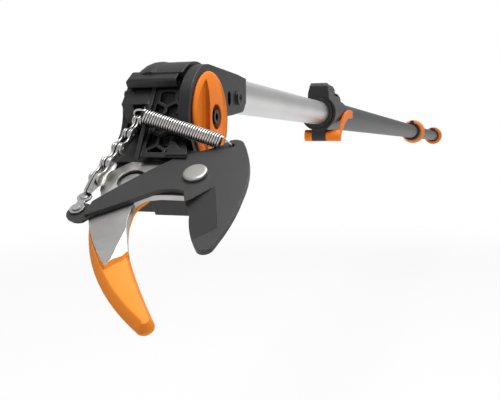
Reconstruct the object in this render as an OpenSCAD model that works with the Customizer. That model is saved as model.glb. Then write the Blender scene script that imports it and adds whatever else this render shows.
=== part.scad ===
// Telescopic pole pruner: two-part pole, sliding pull handle, tilting head with a chain-pulled blade.
// Row frame: X forward along the pole, Y to the knob side, Z up, origin on the pole axis in the rear grip zone.
// Head frame: x forward in the blade plane, y to the knob side, z square to the blade, origin on the tilt axis.

/* [Pole] */
// Outside diameter of the outer tube
tube_d = 33; // [31:0.5:36]
// Wall of the outer tube
tube_wall = 2; // [1.5:0.1:2.4]
// Outside diameter of the inner tube
inner_d = 26; // [24:0.5:26.5]
// Wall of the inner tube
inner_wall = 1.6; // [1.2:0.1:2.2]
// Front end of the outer tube
clamp_x = 1548; // [1400:10:1600]
// Rear end of the outer tube
tail_x = -330; // [-360:5:-320]
// Rear end of the inner tube
inner_tail_x = -210; // [-220:10:-100]
// Middle of the sliding handle
handle_x = 420; // [300:10:600]

/* [Knuckle] */
// Station of the tilt axis along the pole
tilt_x = 1912; // [1905:1:1930]
// Drop of the tilt axis below the pole axis
tilt_drop = 18.8; // [17.5:0.1:20]
// Angle of the head below the pole at rest
head_tilt = 36; // [30:1:40]
// Length from the tilt axis back to the socket mouth
socket_len = 71.6; // [68:0.2:74]
// Outside radius of the ear ring
ring_r = 32.7; // [31.5:0.1:33.2]
// Width of the ear ring
ring_w = 7; // [5:0.5:7.1]
// Radius of the tilt knob
knob_r = 28.4; // [26:0.2:30]
// Height of the tilt knob
knob_h = 5.8; // [5:0.1:7]
// Height of the knob's rim
rim_h = 3.4; // [2.6:0.1:3.8]
// Outer face of the ear ring
ring_y = 13.65; // [13.6:0.05:14]

/* [Housing] */
// Outside radius of the hood
hood_r = 34.6; // [34:0.1:35]
// Radius of the ridge bar
ridge_r = 3.5; // [3.2:0.1:4]
// Radius of the bore through the ridge bar
ridge_bore_r = 2.2; // [1.8:0.1:2.4]
// Pitch of the honeycomb cells
cell = 11.5; // [11:0.5:14]
// Rib between honeycomb cells
rib = 1.9; // [1.5:0.1:2.5]
// Depth of the honeycomb pockets
pocket = 3.4; // [2:0.2:3.6]

/* [Blade] */
// Forward distance of the blade pivot from the tilt axis
pivot_x = 66.1; // [65.5:0.1:67]
// Sideways distance of the blade pivot from the pole axis
pivot_y = 28.1; // [27.5:0.1:28.5]
// Thickness of the blade
blade_t = 3.1; // [2.6:0.1:3.3]
// Thickness of the hook plate
plate_t = 3.4; // [3:0.1:3.6]
// Height of the hook plate's top above the tilt axis
plate_z = 3.2; // [3.1:0.05:3.25]
// Diameter of the pivot rivet's head
rivet_d = 14.2; // [12:0.2:16]
// Depth of the orange sheath under the plate
sheath_t = 4; // [3:0.2:5]

/* [Chain] */
// Pitch of the chain
pitch = 12.7; // [12.3:0.1:13]
// Radius of the chain plates' rounded ends
link_r = 3.3; // [3:0.1:3.5]
// Thickness of one chain plate
link_t = 0.8; // [0.6:0.05:1]
// Half the width between the inner plates
link_gap = 1.5; // [1.3:0.05:1.7]
// Radius of the chain pins
pin_r = 1.2; // [1:0.05:1.4]
// Radius of the chain rollers
roller_r = 2.9; // [2.6:0.1:3]
// Radius of the chain's middle line on its drum
wrap_r = 16; // [15.5:0.1:16.5]
// Distance between the pins of the flat end link
end_len = 9.5; // [8.5:0.1:10.5]
// Thickness of the flat end link
end_t = 1.2; // [0.9:0.05:1.25]
// Radius of the end link's pins
end_pin_r = 1.5; // [1.2:0.1:1.7]

/* [Spring] */
// Wire diameter of the return spring
wire_d = 0.9; // [0.7:0.1:1]
// Outside diameter of the return spring
spring_od = 9.2; // [8.6:0.1:9.4]
// Turns of the return spring
turns = 32; // [24:1:32]

/* [Hidden] */
$fn = 64;
close_fit = 0.02;
run_fit = 0.05;
slot_fit = 0.1;
tube_r = tube_d / 2;
tube_bore = tube_r - tube_wall;
inner_r = inner_d / 2;
inner_bore = inner_r - inner_wall;
tilt_z = -tilt_drop;
mouth_x = tilt_x - socket_len;
socket_r = inner_r + 2;
socket_end = tilt_x - 40;
boss_x = tilt_x - 54;
boss_z = -3.6;
blade_z = plate_z + slot_fit;
blade_top = blade_z + blade_t;
plate_bottom = plate_z - plate_t;
deck_z = plate_z - 0.3;
roof_z = blade_top + 0.9;
cavity_r = 22.8;
hood_l = -31;
hood_right = ring_y - ring_w - 1;
trunnion_r = 9;
split_z = -2;
block_bottom = -12;
strap_t = 1.2;
strap_w = 8;
strap_y = -2;
drum_r = tilt_drop - strap_t / 2;
shaft_r = 4;
chain_y = -17.2;
chain_half = link_gap + 2 * link_t + 0.4;
links = 7;
link_end = [-59.9, 29.9];
link_start = [link_end[0], link_end[1] - end_len];
link_plate_z = blade_z + blade_t / 2;
chain_foot = [pivot_x + link_start[1], pivot_y + link_start[0] + 1.2, link_plate_z + 2.6];
foot_dist = norm([chain_foot[0], chain_foot[2]]);
touch_angle = atan2(chain_foot[2], chain_foot[0]) + acos(wrap_r / foot_dist);
chain_top = [wrap_r * cos(touch_angle), chain_y, wrap_r * sin(touch_angle)];
chain_dir = chain_foot - chain_top;
chain_yaw = atan2(chain_dir[1], chain_dir[0]);
chain_dip = -atan2(chain_dir[2], norm([chain_dir[0], chain_dir[1]]));
chain_len = norm(chain_dir);
chain_start = chain_len - links * pitch;
face_top = [6, 27.4];
face_knee = [31, 13.4];
face_foot = [52, roof_z];
wire_r = wire_d / 2;
coil_r = spring_od / 2 - wire_r;
spring_hole = [13, -27];
spring_wall_y = -11.5;
spring_from = [32.7, spring_wall_y + 1, 22.4];
spring_to = [pivot_x + spring_hole[1] - 1.7, pivot_y + spring_hole[0] - 9.2, blade_top + 2.4];
tilt_up = 50;
tilt_down = 110;

// Points of an arc from p to q whose middle stands h off the chord, to the left when h is positive.
function bow(p, q, h, n = 6) =
    let (d = q - p, l = norm(d), m = (p + q) / 2, s = [-d[1], d[0]] / l)
    let (r = (l * l / 4 + h * h) / (2 * h), c = m + s * (h - r))
    let (a0 = atan2(p[1] - c[1], p[0] - c[0]), a1 = atan2(q[1] - c[1], q[0] - c[0]))
    let (turn = h > 0 ? -(((a0 - a1) % 360 + 360) % 360) : ((a1 - a0) % 360 + 360) % 360)
    [for (i = [0 : n - 1]) c + abs(r) * [cos(a0 + turn * i / n), sin(a0 + turn * i / n)]];

function unit(v) = v / norm(v);

module rod_x(x0, x1, r) {
    translate([x0, 0, 0]) rotate([0, 90, 0]) cylinder(h = x1 - x0, r = r);
}

module rod_y(y0, y1, r) {
    translate([0, y1, 0]) rotate([90, 0, 0]) cylinder(h = y1 - y0, r = r);
}

module pipe_x(x0, x1, r_out, r_in) {
    difference() {
        rod_x(x0, x1, r_out);
        rod_x(x0 - 1, x1 + 1, r_in);
    }
}

// Flat shape drawn in x and z, thick from y0 to y1.
module slab_y(y0, y1) {
    translate([0, y1, 0]) rotate([90, 0, 0]) linear_extrude(y1 - y0) children();
}

module at_tilt() {
    translate([tilt_x, 0, tilt_z]) children();
}

module at_head() {
    at_tilt() rotate([0, head_tilt, 0]) children();
}

// Outlines around the blade pivot are drawn as [sideways, forward].
module at_pivot() {
    translate([pivot_x, pivot_y, 0]) swap_axes() children();
}

module swap_axes() {
    mirror([1, -1, 0]) children();
}

module at_chain() {
    translate(chain_top) rotate([0, chain_dip, chain_yaw]) translate([chain_start, 0, 0]) children();
}

module outer_tube() {
    color("#43464a") pipe_x(tail_x, clamp_x, tube_r, tube_bore);
}

module front_bush() {
    color("#1b1c1e") union() {
        pipe_x(clamp_x - 60, clamp_x + 0.5, tube_bore - close_fit, inner_r + run_fit);
        pipe_x(clamp_x, clamp_x + 3, tube_r, inner_r + run_fit);
    }
}

clamp_back = clamp_x - 78;
clamp_r = 20;
barrel_x = clamp_x - 10;
barrel_r = 6.5;
barrel_z = -clamp_r - barrel_r + 1.3;

module clamp_collar() {
    color("#1b1c1e") difference() {
        union() {
            rod_x(clamp_back, clamp_x - 1, clamp_r);
            fin();
            translate([barrel_x, 0, barrel_z]) rod_y(-7.8, 7.8, barrel_r);
            translate([barrel_x - barrel_r, -7.8, barrel_z]) cube([2 * barrel_r, 15.6, 10]);
        }
        rod_x(clamp_back - 1, clamp_x + 1, tube_r + close_fit);
        translate([barrel_x, 0, barrel_z]) rod_y(-9, 9, 2 + close_fit);
        for (s = [-1, 1]) translate([clamp_x - 52, s * 12 - 2.5, 21]) cube([38, 5, 6.5]);
    }
}

module fin() {
    intersection() {
        slab_y(-12, 12) polygon(concat(
            [[clamp_x - 1, 10], [clamp_x - 1, 30]],
            bow([clamp_x - 4, 33.5], [clamp_x - 34, 32], 0.8, 4),
            bow([clamp_x - 34, 32], [clamp_back + 2, 19], 2, 5),
            [[clamp_back + 2, 10]]));
        rotate([90, 0, 90]) linear_extrude(2 * clamp_x)
            polygon([[-12, 0], [-12, 22], [-7.5, 40], [7.5, 40], [12, 22], [12, 0]]);
    }
}

module clamp_pin() {
    color("#8d9095") translate([barrel_x, 0, barrel_z]) rod_y(-16, 22.5, 2);
}

module clamp_lever() {
    color("#ee8420") difference() {
        union() {
            translate([barrel_x, 0, barrel_z]) rod_y(-16.5, -8, barrel_r);
            translate([barrel_x, 0, barrel_z]) rod_y(8, 23.8, barrel_r);
            slab_y(20.3, 23.8) polygon(concat(
                bow([barrel_x + 2, barrel_z - 6.2], [clamp_back - 6, -3.5], -9, 8),
                bow([clamp_back - 6, -3.5], [clamp_back - 2, 6], 5, 6),
                bow([clamp_back - 2, 6], [barrel_x - 2, barrel_z + 6.2], 7, 8)));
        }
        translate([barrel_x, 0, barrel_z]) rod_y(-20, 22.5 + close_fit, 2 + run_fit);
    }
}

module handle_collar() {
    color("#1b1c1e") difference() {
        union() {
            rod_x(handle_x + 23, handle_x + 52, 22.5);
            translate([handle_x + 23, -4, 16]) cube([12, 8, 12.5]);
            rod_x(handle_x - 23, handle_x + 24, 20);
        }
        rod_x(handle_x - 60, handle_x + 60, tube_r + run_fit);
    }
}

module handle_ring() {
    color("#ee8420") translate([handle_x, 0, 0]) rotate([0, 90, 0]) rotate_extrude() polygon(concat(
        [[20 + close_fit, -22.9]],
        [[23, -22.9]],
        bow([25, -21.5], [25, 21.5], -5, 10),
        [[25, 21.5], [23, 22.9], [20 + close_fit, 22.9]]));
}

module end_plug() {
    color("#1b1c1e") difference() {
        union() {
            rod_x(tail_x, tail_x + 40, tube_bore - close_fit);
            rod_x(tail_x - 18, tail_x, 20);
            slab_y(-8, 8) polygon(concat(
                [[tail_x - 18, 10], [tail_x - 18, 24]],
                bow([tail_x - 18, 24], [tail_x, 24], 4, 6),
                [[tail_x, 24], [tail_x, 10]]));
        }
        rod_x(tail_x - 30, tail_x + 60, 6 + run_fit);
    }
}

ball_r = 31;
ball_x = tail_x - 18 - 20;
strap_tail = inner_tail_x + 12;
strap_travel = 77;
shank_to = strap_tail - strap_travel - 6;

module end_ball() {
    color("#ee8420") union() {
        intersection() {
            translate([ball_x, 0, 0]) sphere(r = ball_r);
            rod_x(ball_x - 40, tail_x - 18.1, 60);
        }
        rod_x(ball_x, shank_to, 6);
    }
}

module inner_tube() {
    color("#c9cbcd") pipe_x(inner_tail_x, socket_end - 2, inner_r, inner_bore);
}

module rear_bush() {
    color("#1b1c1e") pipe_x(inner_tail_x + 1, inner_tail_x + 26, tube_bore - run_fit, inner_r + close_fit);
}

module knuckle() {
    y0 = ring_y - ring_w;
    color("#1b1c1e") difference() {
        union() {
            at_tilt() rod_y(y0, ring_y, ring_r);
            slab_y(y0, ring_y) polygon(concat(
                [[tilt_x, tilt_z + ring_r], [mouth_x + 19, inner_r - 0.4]],
                [[mouth_x, inner_r - 1.8], [mouth_x + 1.5, -6]],
                bow([mouth_x + 3, -9], [mouth_x + 11, -13.3], -1.2, 4),
                [[mouth_x + 11, -13.3], [tilt_x - 32, tilt_z + 1.7]],
                [[tilt_x - 29, tilt_z - 3], [tilt_x, tilt_z]]));
            intersection() {
                rod_x(mouth_x, socket_end, socket_r);
                translate([mouth_x, -14.8, -20]) cube([90, 14.8 + ring_y, 20 + inner_r + 1.1]);
            }
            translate([boss_x, 12, boss_z]) rod_y(0, 3.5, 5);
            slab_y(-5, y0 + 1) polygon([
                [mouth_x + 2, 10], [mouth_x + 2, inner_r + 1],
                [socket_end, inner_r + 1.2], [socket_end, 10]]);
        }
        rod_x(mouth_x - 1, socket_end - 2, inner_r + close_fit);
        rod_x(mouth_x - 1, socket_end + 1, inner_bore);
        at_tilt() rod_y(y0 - 1, ring_y + 1, trunnion_r + run_fit);
        translate([boss_x, 0, boss_z]) rod_y(inner_r - 1, 30, 1.6 + close_fit);
        translate([boss_x, 0, boss_z]) rod_y(14, 30, 3);
        key_slot();
    }
}

// Upright pocket in the side of the arm.
module key_slot() {
    for (z = [-2.1, 2.1]) translate([tilt_x - 36.4, 0, boss_z - 1.4 + z]) rod_y(ring_y - 4, ring_y + 1, 2.9);
    translate([tilt_x - 39.3, ring_y - 4, boss_z - 3.5]) cube([5.8, 5, 4.2]);
}

module socket_screw() {
    color("#2b2c2f") translate([boss_x, 0, boss_z]) difference() {
        union() {
            rod_y(13.5, 14.4, 1.6);
            rod_y(14, 15.2, 2.8);
        }
        translate([0, 15.2, 0]) rotate([90, 0, 0]) translate([0, 0, -1]) cylinder(h = 1.8, r = 1.5, $fn = 6);
    }
}

module pull_strap() {
    color("#26282b") translate([strap_tail, strap_y - strap_w / 2, -strap_t / 2])
        cube([tilt_x - strap_tail, strap_w, strap_t]);
}

module knob() {
    scoop_r = 9.5;
    at_tilt() color("#ee8420") difference() {
        union() {
            rod_y(ring_y + slot_fit, ring_y + rim_h - 0.9, knob_r);
            translate([0, ring_y + rim_h, 0]) rotate([90, 0, 0]) cylinder(h = 0.9, r1 = knob_r - 0.9, r2 = knob_r);
            intersection() {
                translate([0, ring_y + knob_h, 0]) rotate([90, 0, 0])
                    cylinder(h = knob_h - rim_h + 0.6, r1 = knob_r - 7, r2 = knob_r - 1.3);
                translate([-12, 0, -40]) cube([24, 40, 80]);
            }
        }
        for (s = [-1, 1]) intersection() {
            rod_y(0, 60, knob_r - 3.8);
            translate([s * (knob_r - 10), ring_y + 0.9 + scoop_r, -40]) cylinder(h = 80, r = scoop_r);
        }
        rod_y(ring_y + knob_h - 4, ring_y + knob_h + 1, 7.8);
        rod_y(ring_y - 1, ring_y + knob_h, 2.5 + close_fit);
    }
}

module knob_screw() {
    at_tilt() color("#1b1c1e") difference() {
        union() {
            rod_y(ring_y - 6, ring_y + knob_h - 3.8, 2.5);
            rod_y(ring_y + knob_h - 4, ring_y + knob_h - 0.8, 4.6);
        }
        translate([0, ring_y + knob_h, 0]) rotate([90, 0, 0]) cylinder(h = 3, r = 2.6, $fn = 6);
    }
}

// Hood as a turned form about the tilt axis, rounded at its far end.
module hood_form(r, y0, y1, drop) {
    rotate([-90, 0, 0]) rotate_extrude() polygon(concat(
        [[0, y0], [r - drop, y0]],
        drop > 0 ? bow([r - drop, y0], [r, y0 + 2.2 * drop], -drop * 0.45, 6) : [],
        [[r, y0 + 2.2 * drop], [r, y1], [0, y1]]));
}

panel_left = -13.9;
ridge_left = -30.4;
ridge_right = 3;
hood_round = 8.5;
panel_edge = [20, 23.3];
wall_top = [8, 26.9];
wall_mid = [40, 14.9];
wall_foot = [55, roof_z + 0.5];

module tower() {
    at_head() color("#1b1c1e") difference() {
        union() {
            intersection() {
                hood_form(hood_r, hood_l, hood_right, hood_round);
                translate([-50, -60, split_z]) cube([100, 90, 60]);
                union() {
                    translate([-50, -60, -50]) cube([53, 90, 120]);
                    translate([-50, -60, -50]) cube([74, 90, 50 + deck_z + 16]);
                }
            }
            tower_wedge();
            guide_wall();
            left_panel();
            ridge_bar();
            translate([10.5, 0, 24]) rod_y(hood_l - 1.4, -26, 2.6);
            rod_y(hood_right, ring_y - 1.2, trunnion_r);
            intersection() {
                rod_y(2, hood_right + 1, trunnion_r);
                translate([-20, -20, split_z]) cube([40, 60, 40]);
            }
        }
        rod_y(hood_l + 2.5, hood_right - 1.9, cavity_r);
        chain_gate();
        lever_slot();
        translate([21.5, -60, -20]) cube([80, 120, 20 + deck_z]);
        strap_gate();
        honeycomb();
        translate([6, 0, 30.7]) rod_y(-40, 10, ridge_bore_r);
        rod_y(hood_l + 1, hood_right - 0.4, shaft_r + run_fit);
        rod_y(ring_y - 6.4, ring_y + 1, 2.5 + close_fit);
    }
}

module tower_wedge() {
    difference() {
        union() {
            slab_y(panel_left, hood_right) polygon([
                [0, 20], [0, 28], face_top, face_knee, face_foot, [face_foot[0] - 3, roof_z], [10, roof_z]]);
            translate([0, 0, roof_z]) linear_extrude(1.6) polygon(concat(
                [[face_foot[0] - 1, hood_right - 1], [ring_r + 2, hood_right - 1], [ring_r + 2, hood_right]],
                bow([ring_r + 2.6, hood_right + 3], [face_foot[0] - 1, hood_right + 12.2], 1.5, 5),
                [[face_foot[0] - 1, hood_right + 12.2]]));
            intersection() {
                slab_y(hood_right - 1, 18) polygon([
                    [41, roof_z], face_knee + [9.6, -2.8], face_foot, [face_foot[0] - 1, roof_z]]);
                translate([0, 0, -1]) linear_extrude(60) polygon([
                    [39, 0], [39, hood_right], [51, 17.5], [60, 18], [60, 0]]);
            }
        }
        slab_y(panel_left + 2.2, hood_right - 2.2) polygon([
            [24, roof_z - 1], [24, 11], [31, 9.4], [44, roof_z - 1]]);
    }
}

// Front of the tower left of the honeycomb, above the chain's gate.
module left_panel() {
    slab_y(hood_l - 0.8, panel_left) polygon([
        [0, roof_z + 0.2], [0, 28], [4, 28.6], wall_top, panel_edge, [panel_edge[0], roof_z + 0.2]]);
}

module ridge_bar() {
    translate([6, 0, 30.7]) {
        intersection() {
            slab_y(ridge_left, ridge_right) polygon(concat(
                [[-ridge_r - 2, -ridge_r], [-ridge_r - 2, ridge_r - 0.4]],
                bow([ridge_r - 1.4, ridge_r - 0.4], [ridge_r + 0.2, ridge_r - 2], 0.5, 4),
                bow([ridge_r + 0.2, 1.4 - ridge_r], [ridge_r - 1.2, -ridge_r], 0.4, 4),
                [[ridge_r - 1.2, -ridge_r]]));
            rotate([90, 0, 90]) translate([0, 0, -20]) linear_extrude(40) polygon(concat(
                [[hood_right, -ridge_r]],
                [[hood_right, ridge_r]],
                bow([ridge_left + 2.4, ridge_r - 0.4], [ridge_left, ridge_r - 2.8], -0.7, 5),
                bow([ridge_left, 2.6 - ridge_r], [ridge_left + 2.4, -ridge_r], -0.7, 5),
                [[ridge_left + 2.4, -ridge_r]]));
        }
    }
}

module guide_wall() {
    slab_y(panel_left, spring_wall_y) union() {
        polygon([
            [2, 24], [4, 28.9], wall_top + [0.4, 0.6], wall_mid, wall_foot, [wall_foot[0] - 1, roof_z], [12, roof_z]]);
        translate([30, 21.4]) circle(r = 2.7);
        translate([27.3, 14]) square([5.4, 7.4]);
    }
}

module chain_gate() {
    run = chain_half + 0.8;
    at_chain() translate([-chain_start - 6, -run, -link_r - 0.8]) cube([panel_edge[0] + 8, 2 * run, 9.6 + link_r]);
    translate([panel_edge[0], -60, roof_z]) cube([60, 60 + panel_left - 0.1, 40]);
}

module lever_slot() {
    translate([21.5, -60, deck_z]) cube([80, 120, roof_z - deck_z]);
}

module strap_gate() {
    high = 90 + head_tilt - tilt_up;
    low = 90 + head_tilt + tilt_down;
    r_out = drum_r + strap_t + 0.6;
    r_in = drum_r - strap_t - 0.6;
    top = r_out * [cos(high), sin(high)];
    foot = r_in * [cos(low), sin(low)];
    intersection() {
        rod_y(strap_y - strap_w / 2 - 0.6, strap_y + strap_w / 2 + 0.6, hood_r + 3);
        slab_y(-20, 20) polygon([
            [0, 0], top, top + 50 * [cos(high + 90), sin(high + 90)], 70 * [cos(200), sin(200)],
            70 * [cos(250), sin(250)], foot + 50 * [cos(low + 90), sin(low + 90)], foot]);
    }
}

// Hexagon pockets, sunk square to the mean slope to a floor that follows the front.
module honeycomb() {
    row = cell * sqrt(3) / 2;
    sink = [-0.4, -0.92] * pocket;
    slope = atan2(face_top[1] - face_foot[1], face_foot[0] - face_top[0]);
    intersection() {
        slab_y(spring_wall_y + 1.4, hood_right - 1.4) polygon([
            face_top + [4, -1.8] + sink, face_knee + sink, face_foot + [-4, 1.6] + sink, [70, 40], [20, 60]]);
        translate([face_top[0], 0, face_top[1]]) rotate([0, slope, 0]) for (i = [0 : 4]) for (j = [-1 : 1])
            translate([8 + i * row, j * cell - 3.4 + (i % 2) * cell / 2, -15])
                cylinder(h = 40, r = (cell - rib) / sqrt(3), $fn = 6);
    }
}

lever_sweep = max([for (p = tongue_outline()) norm(p)]) + run_fit + 0.2;

module carrier() {
    at_head() color("#1b1c1e") difference() {
        union() {
            intersection() {
                hood_form(hood_r, hood_l, hood_right, hood_round);
                translate([-50, -60, -60]) cube([90, 90, 60 + split_z]);
            }
            at_pivot() translate([0, 0, block_bottom]) linear_extrude(plate_bottom - block_bottom) polygon(concat(
                [[hood_l - 5 - pivot_y, -44], [hood_l - 7 - pivot_y, -32], [-68.6, -16]],
                bow([-68.6, -16], [-54, 4], 4, 4),
                [[-52, 11.2], [-24.4, 11.2], [-24.4, 13.5], [2, 13.5]],
                bow([2, 13.5], [16, -8], 6, 8),
                [[16, -8], [12, -29], [hood_right - pivot_y, -31.5], [hood_right - pivot_y, -44]]));
            translate([21.6, hood_l - 5, block_bottom]) cube([29.1, 5 - hood_l + hood_right, deck_z - block_bottom]);
            left_cheek();
            slab_y(hood_l - 5, -24) polygon([[4, block_bottom], [4, split_z], [23, split_z], [23, block_bottom]]);
        }
        rod_y(hood_l + 2.5, hood_right - 1.9, cavity_r);
        rod_y(hood_l + 1, hood_right - 0.4, shaft_r + run_fit);
        strap_gate();
        translate([21, hood_l - 1.1, deck_z]) cube([60, 120, 40]);
        at_pivot() translate([0, 0, deck_z]) cylinder(h = 40, r = lever_sweep);
        at_pivot() translate([0, 0, -40]) cylinder(h = 80, r = 4 + close_fit);
        at_pivot() translate([-40, 1, -40]) cylinder(h = 80, r = 3 + close_fit);
        at_tilt_ring_clear();
    }
}

// Outer side wall of the chain's channel, clear of the lever's swing.
module left_cheek() {
    slab_y(hood_l - 5, hood_l - 1.1) polygon(concat(
        [[51, block_bottom], [4, block_bottom], [4, 13]],
        bow([6, 17.6], [13, 17.4], 1.6, 5),
        bow([13, 17.4], [26, 5.8], -1.4, 5),
        bow([26, 5.8], [51, 1.6], -0.7, 5),
        [[51, 1.6]]));
}

module at_tilt_ring_clear() {
    rod_y(hood_right, ring_y + knob_h + 2, ring_r + 1.2);
}

function plate_outline() = concat(
    bow([-46, -14.9], [-57, -2], 1.2, 5),
    [[-57.2, 4], [-55.4, 11], [-52.6, 15.5], [-53.4, 28]],
    bow([-53.4, 30.7], [-26.5, 68.2], 2.2, 8),
    [[-26.5, 68.2], [-24.2, 63.5]],
    [[-20, 60.8]],
    [[-18.7, 57.6]],
    bow([-22.1, 50], [-29.2, 29], -0.9, 5),
    bow([-29.4, 27], [-22, 14.9], -3.4, 6),
    [[-16.9, 14.2], [-2, 14.5]],
    bow([4, 14], [14, -13], 7, 8),
    [[8, -15]]);

module hook_plate() {
    at_head() color("#b9bcc0") at_pivot() difference() {
        translate([0, 0, plate_bottom]) linear_extrude(plate_t) polygon(plate_outline());
        translate([0, 0, -20]) cylinder(h = 60, r = 4 + close_fit);
        translate([-40, 1, -20]) cylinder(h = 60, r = 3 + close_fit);
        translate([-40, 1, plate_z - 2.2]) cylinder(h = 10, r = 8.5);
        ground_facet();
    }
}

// Ground flat on the inner corner of the hook's steel tip, falling away from a straight line.
module ground_facet() {
    translate([-26.1, 41.2, plate_z]) rotate([0, 0, 87.2]) rotate([10, 0, 0]) translate([-3, -16, 0]) cube([40, 16, 8]);
}

module hook_sheath() {
    at_head() color("#ee8420") at_pivot() difference() {
        translate([0, 0, plate_bottom - sheath_t]) linear_extrude(plate_z - 1.5 - plate_bottom + sheath_t) polygon(concat(
            [[-52, 11.3], [-54.6, 28]],
            bow([-54.6, 29], [-17, 87], 4.6, 10),
            bow([-17, 87], [3, 102.3], 0.5, 3),
            bow([3, 102.3], [10.6, 98], 3.4, 6),
            bow([10.4, 97.1], [-18, 59.1], -0.6, 4),
            bow([-18.5, 58.2], [-29.6, 32], -1, 5),
            bow([-30.2, 27], [-24.6, 11.3], -2.2, 6)));
        translate([0, 0, plate_bottom]) linear_extrude(20) polygon(plate_outline());
    }
}

module plate_rivet() {
    at_head() color("#a9acb0") at_pivot() translate([-40, 1, 0]) union() {
        translate([0, 0, plate_z - 2.2]) cylinder(h = 1, r = 6.8);
        translate([0, 0, block_bottom - 0.6]) cylinder(h = plate_z - block_bottom, r = 3);
        translate([0, 0, block_bottom - 1.8]) cylinder(h = 1.8, r = 5.5);
    }
}

module pivot_rivet() {
    at_head() color("#a9acb0") at_pivot() union() {
        translate([0, 0, block_bottom - 0.6]) cylinder(h = blade_top + 1 - block_bottom, r = 4);
        translate([0, 0, block_bottom - 2.2]) cylinder(h = 2.2, r = rivet_d / 2);
        translate([0, 0, blade_top + 0.05]) cylinder(h = 1.2, r = rivet_d / 2);
        translate([0, 0, blade_top + 1.25]) cylinder(h = 1.2, r1 = rivet_d / 2, r2 = rivet_d / 2 - 2.2);
    }
}

module drum_shaft() {
    at_head() color("#8d9095") rod_y(hood_l + 1.2, hood_right - 0.5, shaft_r);
}

module strap_drum() {
    y0 = strap_y - strap_w / 2;
    y1 = strap_y + strap_w / 2;
    at_head() color("#33363a") difference() {
        union() {
            rod_y(y0 - 1.4, y1 + 0.9, drum_r);
            rod_y(y0 - 1.4, y0 - 0.3, drum_r + 2.4);
            rod_y(y1 + 0.2, y1 + 1.3, drum_r + 2.4);
            rod_y(chain_y + chain_half + 1.3, y0, 8);
        }
        rod_y(-60, 20, shaft_r + close_fit);
    }
}

module chain_drum() {
    at_head() translate([0, chain_y, 0]) color("#8d9095") difference() {
        rod_y(-chain_half - 1.2, chain_half + 1.2, wrap_r - link_r - 0.2);
        rod_y(-20, 20, shaft_r + close_fit);
    }
}

function blade_outline() = concat(
    bow([-52.9, 24.3], [-18.5, -14], -1.2, 6),
    bow([-18.5, -14], [6, -25.5], -0.9, 4),
    bow([7.4, -27.4], [20.2, -28.9], -4.6, 8),
    bow([20.2, -28.9], [31.6, 18], -3.4, 8),
    bow([31.6, 18], [27.6, 51], -1.2, 5),
    bow([27, 53.5], [18.6, 56.6], -2.8, 6),
    bow([18.6, 56.6], [5.6, 30], -1.5, 6),
    bow([5.2, 28.5], [-2, 14], -0.9, 4),
    bow([-2, 14], [-20, 14.6], 1.9, 6),
    bow([-20, 14.6], [-52.6, 35.6], -0.6, 3),
    [[-52.6, 35.6]]);

// Raised tongue at the lever's end, which the end link is pinned to.
function tongue_outline() = concat(
    [[-48, 24], [-53.5, 25.6], [-57, 24.4]],
    bow([-64, 27], [-60.4, 38.2], 3.2, 6),
    bow([-60.4, 38.2], [-50.5, 37.5], 1.6, 4),
    [[-46, 30]]);

module blade() {
    at_head() color("#54575b") at_pivot() difference() {
        union() {
            translate([0, 0, blade_z]) linear_extrude(blade_t) polygon(blade_outline());
            translate([0, 0, blade_z]) linear_extrude(link_plate_z - 0.1 - blade_z) polygon(tongue_outline());
        }
        translate([0, 0, -1]) cylinder(h = 30, r = 4 + run_fit);
        translate([spring_hole[0], spring_hole[1], -1]) cylinder(h = 30, r = 1.9);
        translate([link_end[0], link_end[1], -1]) cylinder(h = 30, r = end_pin_r + close_fit);
        jaw_bevel();
    }
}

// Ground bevel along the cutting edge of the jaw.
module jaw_bevel() {
    intersection() {
        translate([5.2, 28.5, blade_z + 0.35]) rotate([0, 0, 69]) rotate([-10, 0, 0])
            translate([-30, -40, 0]) cube([90, 44, 12]);
        translate([0, 0, blade_z - 1]) linear_extrude(20) polygon([
            [-6, 27], [3.4, 21], [14.3, 9.4], [25.5, 41.9], [14, 52.5], [-6, 60]]);
    }
}

module lever_pin() {
    at_head() color("#a9acb0") at_pivot() translate([link_end[0], link_end[1], 0]) union() {
        translate([0, 0, blade_z + 0.05]) cylinder(h = link_plate_z + end_t - blade_z, r = end_pin_r);
        translate([0, 0, link_plate_z + end_t + 0.05]) cylinder(h = 0.8, r = 2.4);
    }
}

module eight(span, r, waist) {
    union() {
        circle(r = r);
        translate([span, 0]) circle(r = r);
        translate([0, -waist / 2]) square([span, waist]);
    }
}

module end_link() {
    at_head() color("#a9acb0") at_pivot() translate([link_end[0], link_end[1], link_plate_z]) rotate([0, 0, -90])
        linear_extrude(end_t) difference() {
            eight(end_len, 4.2, 4.6);
            circle(r = end_pin_r + run_fit);
            translate([end_len, 0]) circle(r = end_pin_r + close_fit);
        }
}

module chain_end() {
    last = (links - 1) * pitch;
    at_head() color("#a9acb0") union() {
        at_chain() difference() {
            union() {
                translate([last, 0, 0]) rod_y(-link_gap + 0.1, link_gap - 0.1, 2.2);
                translate([last, -link_gap + 0.1, -1.4]) cube([pitch - 1, 2 * link_gap - 0.2, 2.8]);
            }
            translate([last, 0, 0]) rod_y(-5, 5, pin_r + run_fit);
        }
        at_pivot() translate([link_start[0], link_start[1], 0]) {
            translate([0, 0, link_plate_z]) cylinder(h = 3, r = end_pin_r);
            translate([0, 0, link_plate_z + end_t + 0.05]) cylinder(h = 2.6, r = 2.7);
        }
    }
}

module pair(gap, x) {
    for (s = [0, 1]) mirror([0, s, 0]) slab_y(gap, gap + link_t) difference() {
        translate([x, 0]) eight(pitch, link_r, link_r * 1.3);
        for (k = [0, 1]) translate([x + k * pitch, 0]) circle(r = pin_r + close_fit);
    }
}

module outer_links(list) {
    at_head() color("#a3a6aa") at_chain() for (i = list) pair(link_gap + link_t + slot_fit, i * pitch);
}

module inner_links(list) {
    at_head() color("#a3a6aa") at_chain() for (i = list) pair(link_gap, i * pitch);
}

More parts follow.
